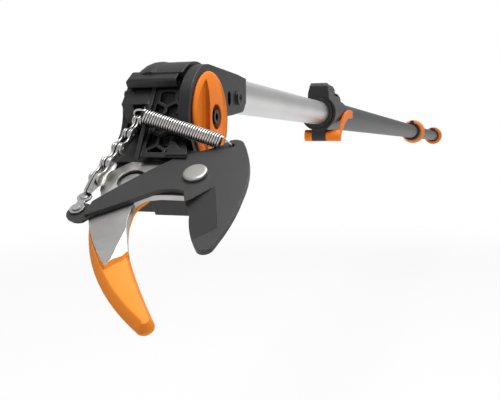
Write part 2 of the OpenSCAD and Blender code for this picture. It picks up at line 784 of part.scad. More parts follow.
module link_pins(list) {
    at_head() color("#8d9095") at_chain() for (i = list) translate([i * pitch, 0, 0]) union() {
        rod_y(-chain_half, chain_half, pin_r);
        if (i < links - 1) rod_y(slot_fit - link_gap, link_gap - slot_fit, roller_r);
    }
}

module chain_outer_a() {
    outer_links([1]);
}

module chain_inner_a() {
    inner_links([0]);
}

module chain_pins_a() {
    link_pins([0, 1]);
}

module chain_outer_b() {
    outer_links([3]);
}

module chain_inner_b() {
    inner_links([2]);
}

module chain_pins_b() {
    link_pins([2, 3]);
}

module chain_outer_c() {
    outer_links([5]);
}

module chain_inner_c() {
    inner_links([4]);
}

module chain_pins_c() {
    link_pins([4, 5, 6]);
}

// Middle line of the spring wire in the head frame.
spring_axis = unit(spring_to - spring_from);
spring_side = unit(cross(spring_axis, [0, 0, 1]));
spring_up = cross(spring_side, spring_axis);
spring_span = norm(spring_to - spring_from);
coil_from = 1.3;
coil_to = spring_span;
loop_at = [30, panel_left - 1.9, 22.6];
loop_r = 3;
function coil_point(t, a, r) = spring_from + spring_axis * t + r * (cos(a) * spring_side + sin(a) * spring_up);
hole_at = [pivot_x + spring_hole[1], pivot_y + spring_hole[0], blade_top];
wire_path = concat(
    [for (a = [285 : -27 : 69]) loop_at + loop_r * [0, cos(a), sin(a)]],
    [spring_from + [-1.4, -1.5, coil_r - 0.3]],
    [for (i = [0 : turns * 8])
        coil_point(coil_from + (coil_to - coil_from) * i / (turns * 8), 90 + i * 45, coil_r)],
    [coil_point(coil_to + 2.2, 90, coil_r - 0.2), coil_point(coil_to + 4.6, 90, coil_r - 0.9)],
    [hole_at + [0, -1.1, 2.1], hole_at + [0, -0.3, 1], hole_at + [0, -0.1, -0.4], hole_at + [0, -0.1, -2.6]]);
// Least gap of the spring wire to itself, over points that lie half a turn or more apart.
wire_gap = min([for (i = [0 : len(wire_path) - 5]) min([for (j = [i + 4 : len(wire_path) - 1])
    norm(wire_path[i] - wire_path[j])])]) - wire_d;
echo(wire_gap = wire_gap);

function tangent(p, i) = unit(i == 0 ? p[1] - p[0] : i == len(p) - 1 ? p[i] - p[i - 1] : p[i + 1] - p[i - 1]);
function carry(n, t) = unit(n - (n * t) * t);

module wire(p, r, sides) {
    n = len(p);
    start = carry([0, 0, 1], tangent(p, 0));
    frames = [for (i = 0, f = start; i < n; i = i + 1, f = i < n ? carry(f, tangent(p, i)) : f) f];
    points = [for (i = [0 : n - 1]) let (t = tangent(p, i), a = carry(frames[i], t), b = cross(t, a))
        for (k = [0 : sides - 1]) p[i] + r * (cos(k * 360 / sides) * a + sin(k * 360 / sides) * b)];
    walls = [for (i = [0 : n - 2]) for (k = [0 : sides - 1]) let (a = i * sides + k, b = i * sides + (k + 1) % sides)
        for (f = [[a, a + sides, b], [b, a + sides, b + sides]]) f];
    front = [for (k = [1 : sides - 2]) [0, k, k + 1]];
    last = (n - 1) * sides;
    back = [for (k = [1 : sides - 2]) [last, last + k + 1, last + k]];
    polyhedron(points = points, faces = concat(walls, front, back));
}

module return_spring() {
    at_head() color("#b9bcc0") wire(wire_path, wire_r, 6);
}

outer_tube();
front_bush();
clamp_collar();
clamp_pin();
clamp_lever();
handle_collar();
handle_ring();
end_plug();
end_ball();
inner_tube();
rear_bush();
knuckle();
socket_screw();
pull_strap();
knob();
knob_screw();
tower();
carrier();
hook_plate();
hook_sheath();
plate_rivet();
pivot_rivet();
drum_shaft();
strap_drum();
chain_drum();
blade();
lever_pin();
end_link();
chain_end();
chain_outer_a();
chain_inner_a();
chain_pins_a();
chain_outer_b();
chain_inner_b();
chain_pins_b();
chain_outer_c();
chain_inner_c();
chain_pins_c();
return_spring();
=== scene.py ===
"""Studio scene of a telescopic pole pruner with a chain-drawn cutting head.

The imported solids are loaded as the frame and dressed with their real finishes. The drive chain, the return
spring, the hook's sheath, the tilt knob, the head's rivets and the pull strap, which the solids hold in a
plainer form, are made here in full.
"""
import logging
import math
from dataclasses import dataclass, field, fields
from enum import Enum
from typing import Any, Optional, Sequence

import bmesh
import bpy
from mathutils import Matrix, Vector


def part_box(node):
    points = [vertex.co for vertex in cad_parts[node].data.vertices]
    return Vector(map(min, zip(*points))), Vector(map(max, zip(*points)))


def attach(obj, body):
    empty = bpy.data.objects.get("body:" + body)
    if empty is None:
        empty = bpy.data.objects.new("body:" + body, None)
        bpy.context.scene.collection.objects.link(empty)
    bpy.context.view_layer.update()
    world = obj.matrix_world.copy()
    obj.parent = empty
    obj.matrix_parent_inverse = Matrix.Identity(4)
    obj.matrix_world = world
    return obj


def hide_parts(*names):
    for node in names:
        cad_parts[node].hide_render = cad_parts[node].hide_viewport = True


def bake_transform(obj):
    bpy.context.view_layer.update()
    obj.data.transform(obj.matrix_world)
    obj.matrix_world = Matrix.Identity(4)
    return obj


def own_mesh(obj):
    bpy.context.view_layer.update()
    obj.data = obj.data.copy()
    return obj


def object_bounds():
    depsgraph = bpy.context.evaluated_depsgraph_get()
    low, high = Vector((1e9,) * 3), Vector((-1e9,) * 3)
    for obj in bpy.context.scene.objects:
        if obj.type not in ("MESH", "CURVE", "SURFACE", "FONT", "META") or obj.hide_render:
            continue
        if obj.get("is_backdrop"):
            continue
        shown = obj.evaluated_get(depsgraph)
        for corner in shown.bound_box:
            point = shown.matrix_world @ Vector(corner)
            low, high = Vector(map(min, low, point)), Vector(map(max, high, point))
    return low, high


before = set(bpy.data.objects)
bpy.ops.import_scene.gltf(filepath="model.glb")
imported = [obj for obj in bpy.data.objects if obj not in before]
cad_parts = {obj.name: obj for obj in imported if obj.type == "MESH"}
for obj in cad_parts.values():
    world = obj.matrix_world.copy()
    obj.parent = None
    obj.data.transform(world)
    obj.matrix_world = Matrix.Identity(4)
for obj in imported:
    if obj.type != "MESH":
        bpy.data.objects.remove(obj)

Flat = tuple[float, float]
Point = tuple[float, float, float]
Material = bpy.types.Material
Piece = bpy.types.Object
Shape = bmesh.types.BMesh
Socket = bpy.types.NodeSocket
Tree = bpy.types.NodeTree

LOG = logging.getLogger("pole_pruner")
MM = 0.001
# The cutting head's own axes run forward, sideways and up from the tilt axis and dip toward the hook.
TILT_AXIS: Point = (1.912, 0.0, -0.0188)
HEAD_DIP = math.radians(36.0)
HEAD = Matrix.Translation(TILT_AXIS) @ Matrix.Rotation(HEAD_DIP, 4, "Y")
# The blade's pivot, forward and sideways in the head's own axes, in millimetres.
PIVOT: Flat = (66.1, 28.1)


class Body(Enum):
    """Moving bodies that the pieces made here ride on."""

    STRAP = "strap"
    HEAD = "head"
    BLADE = "blade"
    KNOB = "knob"
    CHAIN_TOP = "chain_top"
    CHAIN_MID = "chain_mid"
    CHAIN_TAIL = "chain_tail"


class Slot(Enum):
    """Material slots of the record for the pieces made here, which nothing here reads."""

    PLATED = "plated_steel"
    ORANGE = "orange_nylon"
    WEBBING = "strap_webbing"


class Work(Enum):
    """What a tool does to the blank of a moulding."""

    ADD = "UNION"
    CUT = "DIFFERENCE"


def srgb(code: str) -> tuple[float, float, float, float]:
    """Turns an sRGB hex colour into the linear colour that a shader's socket takes.

    Args:
        code: Six hex digits with a leading hash.

    Returns:
        Linear red, green and blue with full alpha.
    """
    parts = [int(code[i:i + 2], 16) / 255 for i in (1, 3, 5)]
    linear = [c / 12.92 if c <= 0.04045 else ((c + 0.055) / 1.055) ** 2.4 for c in parts]
    return (linear[0], linear[1], linear[2], 1.0)


def add_node(
    tree: Tree,
    kind: str,
    values: Optional[dict[Any, Any]] = None,
    links: Optional[dict[Any, Socket]] = None,
    **settings: Any,
) -> bpy.types.Node:
    """Adds a node with its settings, its fixed inputs and its links.

    Args:
        tree: Tree that the node goes into.
        kind: Blender's name for the node type.
        values: Fixed values by input name or number.
        links: Output sockets by the input name or number they feed.
        **settings: Properties of the node itself.

    Returns:
        The new node.
    """
    node = tree.nodes.new(kind)
    for key, value in settings.items():
        setattr(node, key, value)
    for key, value in (values or {}).items():
        node.inputs[key].default_value = value
    for key, source in (links or {}).items():
        tree.links.new(source, node.inputs[key])
    return node


def empty_tree(owner: bpy.types.ID) -> Tree:
    """Gives a material or a world an empty node tree.

    Args:
        owner: The material or the world.

    Returns:
        Its tree.
    """
    owner.use_nodes = True
    owner.node_tree.nodes.clear()
    return owner.node_tree


def placed(name: str, data: bpy.types.ID) -> Piece:
    """Makes an object and links it to the scene.

    Args:
        name: Name of the object.
        data: The mesh, curve, lamp or camera that it shows.

    Returns:
        The object.
    """
    made = bpy.data.objects.new(name, data)
    bpy.context.scene.collection.objects.link(made)
    return made


def head_point(x: float, y: float, z: float) -> Vector:
    """Turns a point in the head's own axes, in millimetres, into the part's frame in metres."""
    return HEAD @ Vector((x * MM, y * MM, z * MM))


@dataclass(frozen=True)
class Finish:
    """A surface: its colour, its mottling, its fine grain, its rounded edges lightened partly by use and
    partly by a painted highlight, and painted shade in its hollows.

    Sizes are in millimetres. The grain may be stretched into drawn or ground lines and turned to the piece.
    """

    name: str
    colour: str
    shade: str
    rough: Flat
    metallic: float = 0.0
    mottle: float = 22.0
    grain: float = 0.5
    grain_range: Flat = (0.3, 0.7)
    grain_share: float = 0.35
    shade_range: Flat = (0.5, 0.85)
    depth: float = 0.03
    relief: float = 0.5
    lines: Point = (1.0, 1.0, 1.0)
    turn: Point = (0.0, 0.0, 0.0)
    edge: float = 0.5
    # Lighter colour on the edges, partly marks of use and partly a painted highlight, with its share and the
    # edge mask's range.
    edge_wear_and_highlight: str = ""
    edge_wear_and_highlight_share: float = 0.0
    wear_range: Flat = (0.99, 0.86)
    specular: float = 0.5
    # Painted shade in hollows: its colour, its reach in millimetres and the occlusion range over which it
    # comes in.
    painted_shade: str = ""
    painted_shade_reach: float = 6.0
    deep_range: Flat = (0.35, 0.95)

    def material(self) -> Material:
        """Builds the procedural material of this finish.

        Returns:
            The material, ready to go on a piece.
        """
        made = bpy.data.materials.new(self.name)
        tree = empty_tree(made)
        place = add_node(tree, "ShaderNodeTexCoord").outputs["Object"]
        lined = add_node(
            tree, "ShaderNodeMapping", {"Rotation": self.turn, "Scale": self.lines}, {"Vector": place})
        broad = add_node(
            tree, "ShaderNodeTexNoise", {"Scale": 1 / MM / self.mottle, "Detail": 4.0}, {"Vector": place})
        fine = add_node(
            tree, "ShaderNodeTexNoise", {"Scale": 1 / MM / self.grain, "Detail": 2.0},
            {"Vector": lined.outputs[0]})
        mottle, grain = broad.outputs["Fac"], fine.outputs["Fac"]
        soft = add_node(tree, "ShaderNodeBevel", {"Radius": self.edge * MM}, samples=6).outputs[0]
        colour = self.paint_hollow_shade(tree, self.paint_edge_wear_and_highlight(tree, self.paint(tree, mottle, grain), soft, mottle))
        rough = add_node(
            tree, "ShaderNodeMapRange",
            {1: self.grain_range[0], 2: self.grain_range[1], 3: self.rough[0], 4: self.rough[1]}, {0: grain})
        bump = add_node(
            tree, "ShaderNodeBump", {"Strength": self.relief, "Distance": self.depth * MM},
            {"Height": grain, "Normal": soft})
        surface = add_node(
            tree, "ShaderNodeBsdfPrincipled",
            {"Metallic": self.metallic, "Specular IOR Level": self.specular},
            {"Base Color": colour, "Roughness": rough.outputs[0], "Normal": bump.outputs[0]})
        add_node(tree, "ShaderNodeOutputMaterial", None, {"Surface": surface.outputs[0]})
        return made

    def paint(self, tree: Tree, mottle: Socket, grain: Socket) -> Socket:
        """Mixes the two colours by the broad mottling and a little of the grain.

        Args:
            tree: Material tree.
            mottle: Broad noise.
            grain: Fine noise.

        Returns:
            The colour socket.
        """
        both = add_node(
            tree, "ShaderNodeMath", {1: self.grain_share}, {0: grain, 2: mottle}, operation="MULTIPLY_ADD")
        share = add_node(
            tree, "ShaderNodeMapRange", {1: self.shade_range[0], 2: self.shade_range[1]},
            {0: both.outputs[0]})
        mixed = add_node(
            tree, "ShaderNodeMix", {6: srgb(self.colour), 7: srgb(self.shade)}, {0: share.outputs[0]},
            data_type="RGBA")
        return mixed.outputs[2]

    def paint_edge_wear_and_highlight(self, tree: Tree, colour: Socket, soft: Socket, mottle: Socket) -> Socket:
        """Lightens the edges, partly as marks of hands and branches and partly as a painted highlight.

        Args:
            tree: Material tree.
            colour: Colour before the edges are lightened.
            soft: Rounded normal, which leaves the true one only near an edge.
            mottle: Broad noise that breaks the wear up.

        Returns:
            The colour socket with the lightened edges, partly marks of use and partly painted highlight.
        """
        if not self.edge_wear_and_highlight:
            return colour
        true = add_node(tree, "ShaderNodeNewGeometry").outputs["Normal"]
        along = add_node(tree, "ShaderNodeVectorMath", None, {0: soft, 1: true}, operation="DOT_PRODUCT")
        near = add_node(
            tree, "ShaderNodeMapRange", {1: self.wear_range[0], 2: self.wear_range[1], 3: 0.0, 4: self.edge_wear_and_highlight_share},
            {0: along.outputs[1]})
        part = add_node(
            tree, "ShaderNodeMath", None, {0: near.outputs[0], 1: mottle}, operation="MULTIPLY")
        mixed = add_node(
            tree, "ShaderNodeMix", {7: srgb(self.edge_wear_and_highlight)}, {0: part.outputs[0], 6: colour}, data_type="RGBA")
        return mixed.outputs[2]

    def paint_hollow_shade(self, tree: Tree, colour: Socket) -> Socket:
        """Paints shade into the colour in hollows and roots, where ambient occlusion finds the surface closed
        in.

        Args:
            tree: Material tree.
            colour: Colour on open faces.

        Returns:
            The colour socket with painted shade in its hollows.
        """
        if not self.painted_shade:
            return colour
        # Painted shade: the more closed in a point is, the darker its colour.
        free = add_node(
            tree, "ShaderNodeAmbientOcclusion", {"Distance": self.painted_shade_reach * MM}, samples=8).outputs["AO"]
        share = add_node(
            tree, "ShaderNodeMapRange", {1: self.deep_range[0], 2: self.deep_range[1]}, {0: free})
        mixed = add_node(
            tree, "ShaderNodeMix", {6: srgb(self.painted_shade)}, {0: share.outputs[0], 7: colour}, data_type="RGBA")
        return mixed.outputs[2]


@dataclass(frozen=True)
class Bevelled(Finish):
    """Finish of a flat plate or moulding whose bevels, which lean from the flat, get a painted tone of their
    own that stands in for the light and shade falling on them.

    As cosines of the angle to the head's up axis, the tone comes in between the two leans and goes out again
    between the two steeps.
    """

    # Painted light and shade of the bevels; by default a dark grey, for the blade's ground bevels.
    bevel: str = "#2d2d2d"
    lean: Flat = (0.998, 0.992)
    steep: Flat = (0.9, 0.95)

    def paint(self, tree: Tree, mottle: Socket, grain: Socket) -> Socket:
        """Mixes the flat's colours and lays the painted tone of the bevels where the surface leans a little.

        Args:
            tree: Material tree.
            mottle: Broad noise.
            grain: Fine noise.

        Returns:
            The colour socket.
        """
        base = Finish.paint(self, tree, mottle, grain)
        true = add_node(tree, "ShaderNodeNewGeometry").outputs["True Normal"]
        own = add_node(
            tree, "ShaderNodeVectorTransform", None, {0: true}, vector_type="NORMAL", convert_from="WORLD",
            convert_to="OBJECT")
        up = HEAD.to_3x3() @ Vector((0, 0, 1))
        flat = add_node(
            tree, "ShaderNodeVectorMath", {1: up}, {0: own.outputs[0]}, operation="DOT_PRODUCT").outputs[1]
        lean = add_node(tree, "ShaderNodeMapRange", {1: self.lean[0], 2: self.lean[1]}, {0: flat})
        top = add_node(tree, "ShaderNodeMapRange", {1: self.steep[0], 2: self.steep[1]}, {0: flat})
        both = add_node(
            tree, "ShaderNodeMath", None, {0: lean.outputs[0], 1: top.outputs[0]}, operation="MULTIPLY")
        mixed = add_node(
            tree, "ShaderNodeMix", {7: srgb(self.bevel)}, {0: both.outputs[0], 6: base}, data_type="RGBA")
        return mixed.outputs[2]


@dataclass(frozen=True)
class WoundWire(Finish):
    """Spring wire whose crest keeps its own bright colour and whose flanks, turned to the next coil, get
    painted shade.
    """

    # Painted shade on the flanks between the turns, and the crest heights it fades out over.
    root: str = "#3d3b3a"
    crest_range: Flat = (0.3, 0.75)

    def paint(self, tree: Tree, mottle: Socket, grain: Socket) -> Socket:
        """Mixes the wire's colour on its crest with painted shade on its flanks, by the height that the wire
        carries as an attribute.

        Args:
            tree: Material tree.
            mottle: Broad noise.
            grain: Fine noise.

        Returns:
            The colour socket.
        """
        base = Finish.paint(self, tree, mottle, grain)
        crest = add_node(tree, "ShaderNodeAttribute", attribute_name="crest").outputs["Fac"]
        share = add_node(
            tree, "ShaderNodeMapRange", {1: self.crest_range[0], 2: self.crest_range[1]}, {0: crest})
        mixed = add_node(
            tree, "ShaderNodeMix", {6: srgb(self.root)}, {0: share.outputs[0], 7: base}, data_type="RGBA")
        return mixed.outputs[2]


@dataclass(frozen=True)
class WovenBand(Finish):
    """Flat polyester webbing, read along its own UV map, with a plain weave of about a millimetre."""

    pick: float = 1.1

    def paint(self, tree: Tree, mottle: Socket, grain: Socket) -> Socket:
        """Lays the over and under of the yarns as a small check.

        Args:
            tree: Material tree.
            mottle: Broad noise, which the weave leaves out.
            grain: Fine noise, which the weave leaves out.

        Returns:
            The colour socket.
        """
        own = add_node(tree, "ShaderNodeUVMap", uv_map="band").outputs[0]
        check = add_node(
            tree, "ShaderNodeTexChecker",
            {"Scale": 1 / MM / self.pick, "Color1": srgb(self.colour), "Color2": srgb(self.shade)},
            {"Vector": own})
        return check.outputs[0]


@dataclass(frozen=True)
class Finishes:
    """All the finishes of the pruner."""

    # Glass-filled nylon: near-black, dry and finely sparked, with broad dull highlights, a pale painted
    # highlight along its edges and painted shade in its hollows.
    black_nylon: Finish = Finish(
        "glass_filled_nylon_black", "#1a1a1b", "#202021", (0.34, 0.46), grain=0.45, depth=0.05, edge=0.8,
        edge_wear_and_highlight="#626263", edge_wear_and_highlight_share=0.8, specular=0.45, painted_shade="#050505", painted_shade_reach=9.0)
    # Moulded nylon: warm orange and slightly satin, with a pale highlight painted along its rounded edges and
    # a darker orange painted as shade in its hollows and scoops.
    orange_nylon: Finish = Finish(
        "moulded_nylon_orange", "#f8861a", "#f27e16", (0.44, 0.54), mottle=40.0, grain=0.6, depth=0.025,
        edge=1.0, edge_wear_and_highlight="#ffac50", edge_wear_and_highlight_share=0.15, specular=0.25, painted_shade="#9a3f02", painted_shade_reach=12.0,
        deep_range=(0.5, 0.92))
    # Softer over-moulding on the hook: a little paler and yellower than the hard mouldings, and matt. Its
    # chamfer is painted a darker orange as shade.
    soft_orange: Finish = Bevelled(
        "over_moulded_elastomer_orange", "#f49a38", "#ef9330", (0.48, 0.58), mottle=40.0, grain=0.6,
        depth=0.025, edge=0.6, specular=0.25, bevel="#e88424", lean=(0.97, 0.86), steep=(0.2, 0.3))
    # Drawn and anodised aluminium: pale silver. Its lines along the tube are drawn coarser than real ones.
    bright_tube: Finish = Finish(
        "anodised_aluminium_silver", "#d8d8d7", "#d2d2d2", (0.33, 0.37), 1.0, mottle=60.0, grain=4.0,
        depth=0.0008, lines=(0.01, 1.0, 1.0), edge=0.3)
    # Enamel on the outer tube: dark grey, satin and even.
    grey_tube: Finish = Finish(
        "satin_enamel_grey", "#38393a", "#323334", (0.36, 0.46), mottle=60.0, depth=0.01, edge=0.3,
        specular=0.25)
    # Ground plate steel: pale grey with short grinding lines across the hook, a white highlight painted on
    # its bevels, paler edges partly from use and partly a painted highlight, and painted shade in its
    # hollows.
    hook_steel: Finish = Bevelled(
        "ground_plate_steel", "#c0bebc", "#b2b0ae", (0.3, 0.44), 1.0, mottle=14.0, grain=0.3, depth=0.006,
        lines=(1.0, 0.04, 1.0), turn=(0.0, -HEAD_DIP, 0.4), edge=0.3, edge_wear_and_highlight="#e4e4e2", edge_wear_and_highlight_share=0.5,
        bevel="#fcfbf8", painted_shade="#3a3938", painted_shade_reach=3.5, deep_range=(0.4, 0.85))
    # Low-friction coating on the blade: dark grey, finely pebbled, thin on its ground edges.
    blade_coat: Finish = Bevelled(
        "low_friction_blade_coating", "#2a2a2a", "#2f2f2f", (0.38, 0.5), 0.1, mottle=18.0, grain=0.4,
        depth=0.015, edge=0.35, edge_wear_and_highlight="#848484", edge_wear_and_highlight_share=0.5)
    # Zinc plate on the chain, its drum and the small pins: bright, a little cloudy, with sharp highlights,
    # paler edges partly from use and partly a painted highlight, and painted shade between the links.
    zinc: Finish = Finish(
        "zinc_plated_steel", "#d2d0cd", "#c2c0bd", (0.3, 0.4), 1.0, mottle=30.0, depth=0.002, edge=0.2,
        edge_wear_and_highlight="#f0efec", edge_wear_and_highlight_share=0.2, painted_shade="#403e3c", painted_shade_reach=3.5)
    # Brushed rivet steel: a flat, even sheen with a bright rim.
    rivet: Finish = Finish(
        "brushed_rivet_steel", "#b8b7b4", "#acaba8", (0.3, 0.42), 1.0, mottle=12.0, grain=0.3, depth=0.004,
        lines=(1.0, 0.08, 1.0), turn=(0.0, -HEAD_DIP, 0.9), edge=0.15)
    # Drawn spring wire: its own bright colour on its crest, with painted shade in the roots between its
    # turns.
    wire: Finish = WoundWire(
        "drawn_spring_wire", "#d8d6d3", "#c4c2bf", (0.24, 0.34), 1.0, mottle=20.0, grain=0.3, depth=0.002,
        edge=0.1)
    # Black oxide on the hexagon screws: dark with a thin oily gloss.
    black_steel: Finish = Finish(
        "black_oxide_steel", "#2b2c2e", "#1f2022", (0.28, 0.4), 0.7, mottle=6.0, grain=0.4, depth=0.01,
        edge=0.3, edge_wear_and_highlight="#77787a", edge_wear_and_highlight_share=0.5)
    # Polyester webbing: black yarns with a soft sheen.
    webbing: Finish = WovenBand(
        "polyester_webbing", "#232427", "#17181a", (0.6, 0.8), grain=0.4, depth=0.05, edge=0.2)


NODE_FINISH: dict[str, tuple[str, ...]] = {
    "black_nylon": (
        "front_bush", "clamp_collar", "handle_collar", "end_plug", "rear_bush", "knuckle", "tower", "carrier",
        "strap_drum"),
    "orange_nylon": ("clamp_lever", "handle_ring", "end_ball"),
    "bright_tube": ("inner_tube",),
    "grey_tube": ("outer_tube",),
    "hook_steel": ("hook_plate",),
    "blade_coat": ("blade",),
    "zinc": ("clamp_pin", "drum_shaft", "chain_drum", "lever_pin", "end_link"),
    "black_steel": ("socket_screw", "knob_screw"),
}


def dress_nodes(finishes: dict[str, Material]) -> None:
    """Puts each finish on the solids that carry it.

    Args:
        finishes: Materials by the name of their finish.
    """
    for finish, nodes in NODE_FINISH.items():
        for name in nodes:
            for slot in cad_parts[name].material_slots:
                slot.material = finishes[finish]
            LOG.info("%s: %s", name, finish)


def mesh_object(name: str, shape: Shape, smooth: float = 35.0) -> Piece:
    """Makes an object of a finished shape, smooth except at its sharp edges.

    Args:
        name: Name of the piece.
        shape: Its shape, which is freed.
        smooth: Angle in degrees past which an edge stays sharp.

    Returns:
        The object, linked to the scene.
    """
    bmesh.ops.recalc_face_normals(shape, faces=shape.faces)
    for face in shape.faces:
        face.smooth = True
    for edge in shape.edges:
        edge.smooth = len(edge.link_faces) == 2 and edge.calc_face_angle() < math.radians(smooth)
    mesh = bpy.data.meshes.new(name)
    shape.to_mesh(mesh)
    shape.free()
    return placed(name, mesh)


def arc(centre: Flat, radius: float, first: float, sweep: float, steps: int) -> list[Flat]:
    """Draws an arc, both ends included.

    Args:
        centre: Middle of its circle.
        radius: Radius of its circle.
        first: Angle of its first point, in radians.
        sweep: Angle that it covers, in radians.
        steps: Chords between its points.

    Returns:
        Points of the arc.
    """
    angles = [first + sweep * k / steps for k in range(steps + 1)]
    return [(centre[0] + radius * math.cos(a), centre[1] + radius * math.sin(a)) for a in angles]


def skin(shape: Shape, rings: Sequence[Sequence[Any]], bored: bool = False) -> list[bmesh.types.BMFace]:
    """Stretches faces over rings of points.

    Args:
        shape: Shape that the faces are added to.
        rings: Rings of equally many points, from one end to the other.
        bored: Whether the last ring joins the first one, as round a bore, and no end is closed.

    Returns:
        The faces between the rings.
    """
    loops = [[shape.verts.new(point) for point in ring] for ring in rings]
    faces = []
    for low, high in zip(loops, loops[1:] + (loops[:1] if bored else [])):
        for k in range(len(low)):
            ahead = (k + 1) % len(low)
            faces.append(shape.faces.new((low[k], low[ahead], high[ahead], high[k])))
    for end in () if bored else (loops[0], loops[-1]):
        shape.faces.new(end)
    return faces


def turned(
    shape: Shape, profile: Sequence[Flat], sides: int = 20, unit: float = MM, bored: bool = False,
) -> None:
    """Adds a turned piece about the sideways axis.

    Args:
        shape: Shape that the piece is added to.
        profile: Places along the axis and radii, from one end to the other.
        sides: Faces round the piece.
        unit: Unit of the profile, in metres, or one to keep it as it is.
        bored: Whether the profile closes on itself round a bore.
    """
    angles = [math.tau * k / sides for k in range(sides)]
    skin(shape, [
        [(radius * unit * math.cos(a), along * unit, radius * unit * math.sin(a)) for a in angles]
        for along, radius in profile], bored)


def barrel(half: float, radius: float, rim: Sequence[Flat]) -> list[Flat]:
    """Draws the profile of a barrel with the same soft rim at both ends.

    Args:
        half: Half of its length.
        radius: Its radius.
        rim: Distances from the end and what the radius lacks there, from the end inwards.

    Returns:
        Places along the axis and radii.
    """
    near = [(along - half, radius - lack) for along, lack in rim]
    return near + [(-along, r) for along, r in reversed(near)]


def stand(shape: Shape, x: float, y: float, first: int = 0) -> None:
    """Stands turned pieces upright in the head.

    Args:
        shape: Shape that holds them.
        x: Place forward in the head, in millimetres.
        y: Place sideways in the head, in millimetres.
        first: Number of the first point that belongs to them.
    """
    upright = Matrix.Translation(head_point(x, y, 0)) @ HEAD.to_3x3().to_4x4()
    shape.verts.ensure_lookup_table()
    bmesh.ops.transform(
        shape, matrix=upright @ Matrix.Rotation(math.pi / 2, 4, "X"), verts=shape.verts[first:])


def carved(blank: Piece, tools: Sequence[tuple[Work, Piece]]) -> Shape:
    """Adds forms to a blank or cuts them out of it, in order.

    Args:
        blank: Form that the work starts from, which is removed.
        tools: What each form does, and the form, which is removed.

    Returns:
        The worked shape.
    """
    for work, tool in tools:
        step = blank.modifiers.new(tool.name, "BOOLEAN")
        step.operation, step.solver, step.object = work.value, "EXACT", tool
    bpy.context.view_layer.update()
    graph = bpy.context.evaluated_depsgraph_get()
    worked = bpy.data.meshes.new_from_object(blank.evaluated_get(graph))
    shape = bmesh.new()
    shape.from_mesh(worked)
    bpy.data.meshes.remove(worked)
    for form in (blank, *(tool for _, tool in tools)):
        bpy.data.objects.remove(form)
    return shape


def open_tree(name: str, inputs: dict[str, str]) -> Tree:
    """Starts a geometry tree with its sockets.

    Args:
        name: Name of the tree.
        inputs: Kind of each further input by its name.

    Returns:
        The tree, with its geometry and its finish among its inputs.
    """
    tree = bpy.data.node_groups.new(name, "GeometryNodeTree")
    for label, kind in {"Geometry": "Geometry", **inputs, "Finish": "Material"}.items():
        tree.interface.new_socket(label, in_out="INPUT", socket_type=f"NodeSocket{kind}")
    tree.interface.new_socket("Geometry", in_out="OUTPUT", socket_type="NodeSocketGeometry")
    return tree


def close_tree(tree: Tree, shape: Socket, finish: Socket) -> None:
    """Ends a geometry tree with real geometry in its finish.

    Args:
        tree: The geometry tree.
        shape: Geometry that the tree has made.
        finish: Material that goes on it.
    """
    real = add_node(tree, "GeometryNodeRealizeInstances", None, {0: shape})
    done = add_node(
        tree, "GeometryNodeSetMaterial", None, {"Geometry": real.outputs[0], "Material": finish})
    add_node(tree, "NodeGroupOutput", None, {0: done.outputs[0]})


def run_tree(rows: Sequence[str]) -> Tree:
    """Builds the tree that sets rows of a repeated shape along a straight line.

    Args:
        rows: Names of the rows, each with its own shape, count, first place and step.

    Returns:
        The geometry tree.
    """
    kinds = {"shape": "Object", "count": "Int", "first": "Vector", "step": "Vector"}
    tree = open_tree("run_of_links", {f"{row} {label}": kinds[label] for row in rows for label in kinds})
    given = add_node(tree, "NodeGroupInput").outputs
    joined = add_node(tree, "GeometryNodeJoinGeometry")
    for row in rows:
        line = add_node(
            tree, "GeometryNodeMeshLine", None,
            {"Count": given[f"{row} count"], "Start Location": given[f"{row} first"],
             "Offset": given[f"{row} step"]}, mode="OFFSET")
        shape = add_node(tree, "GeometryNodeObjectInfo", None, {"Object": given[f"{row} shape"]})
        laid = add_node(
            tree, "GeometryNodeInstanceOnPoints", None,
            {"Points": line.outputs[0], "Instance": shape.outputs["Geometry"]})
        tree.links.new(laid.outputs[0], joined.inputs[0])
    close_tree(tree, joined.outputs[0], given["Finish"])
    return tree


def wire_tree() -> Tree:
    """Builds the tree that draws a round wire along a path.

    Returns:
        The geometry tree.
    """
    tree = open_tree("round_wire", {"Wire radius": "Float", "Sides": "Int"})
    given = add_node(tree, "NodeGroupInput").outputs
    ring = add_node(
        tree, "GeometryNodeCurvePrimitiveCircle", None,
        {"Radius": given["Wire radius"], "Resolution": given["Sides"]})
    drawn = add_node(
        tree, "GeometryNodeCurveToMesh", {"Fill Caps": True},
        {"Curve": given["Geometry"], "Profile Curve": ring.outputs[0]})
    smooth = add_node(tree, "GeometryNodeSetShadeSmooth", None, {0: drawn.outputs[0]})
    close_tree(tree, smooth.outputs[0], given["Finish"])
    return tree


def grown(source: Piece, tree: Tree, inputs: dict[str, Any], name: str) -> Piece:
    """Runs a geometry tree on an object and keeps the result as a plain mesh.

    Args:
        source: Object that the tree starts from, which is removed.
        tree: The geometry tree.
        inputs: Values of the tree's inputs by name.
        name: Name of the piece.

    Returns:
        The piece.
    """
    modifier = source.modifiers.new("grow", "NODES")
    modifier.node_group = tree
    sockets = {item.name: item.identifier for item in tree.interface.items_tree if item.in_out == "INPUT"}
    for key, value in inputs.items():
        modifier[sockets[key]] = value
    bpy.context.view_layer.update()
    graph = bpy.context.evaluated_depsgraph_get()
    mesh = bpy.data.meshes.new_from_object(source.evaluated_get(graph))
    source.modifiers.remove(modifier)
    bpy.data.objects.remove(source)
    mesh.name = name
    return placed(name, mesh)


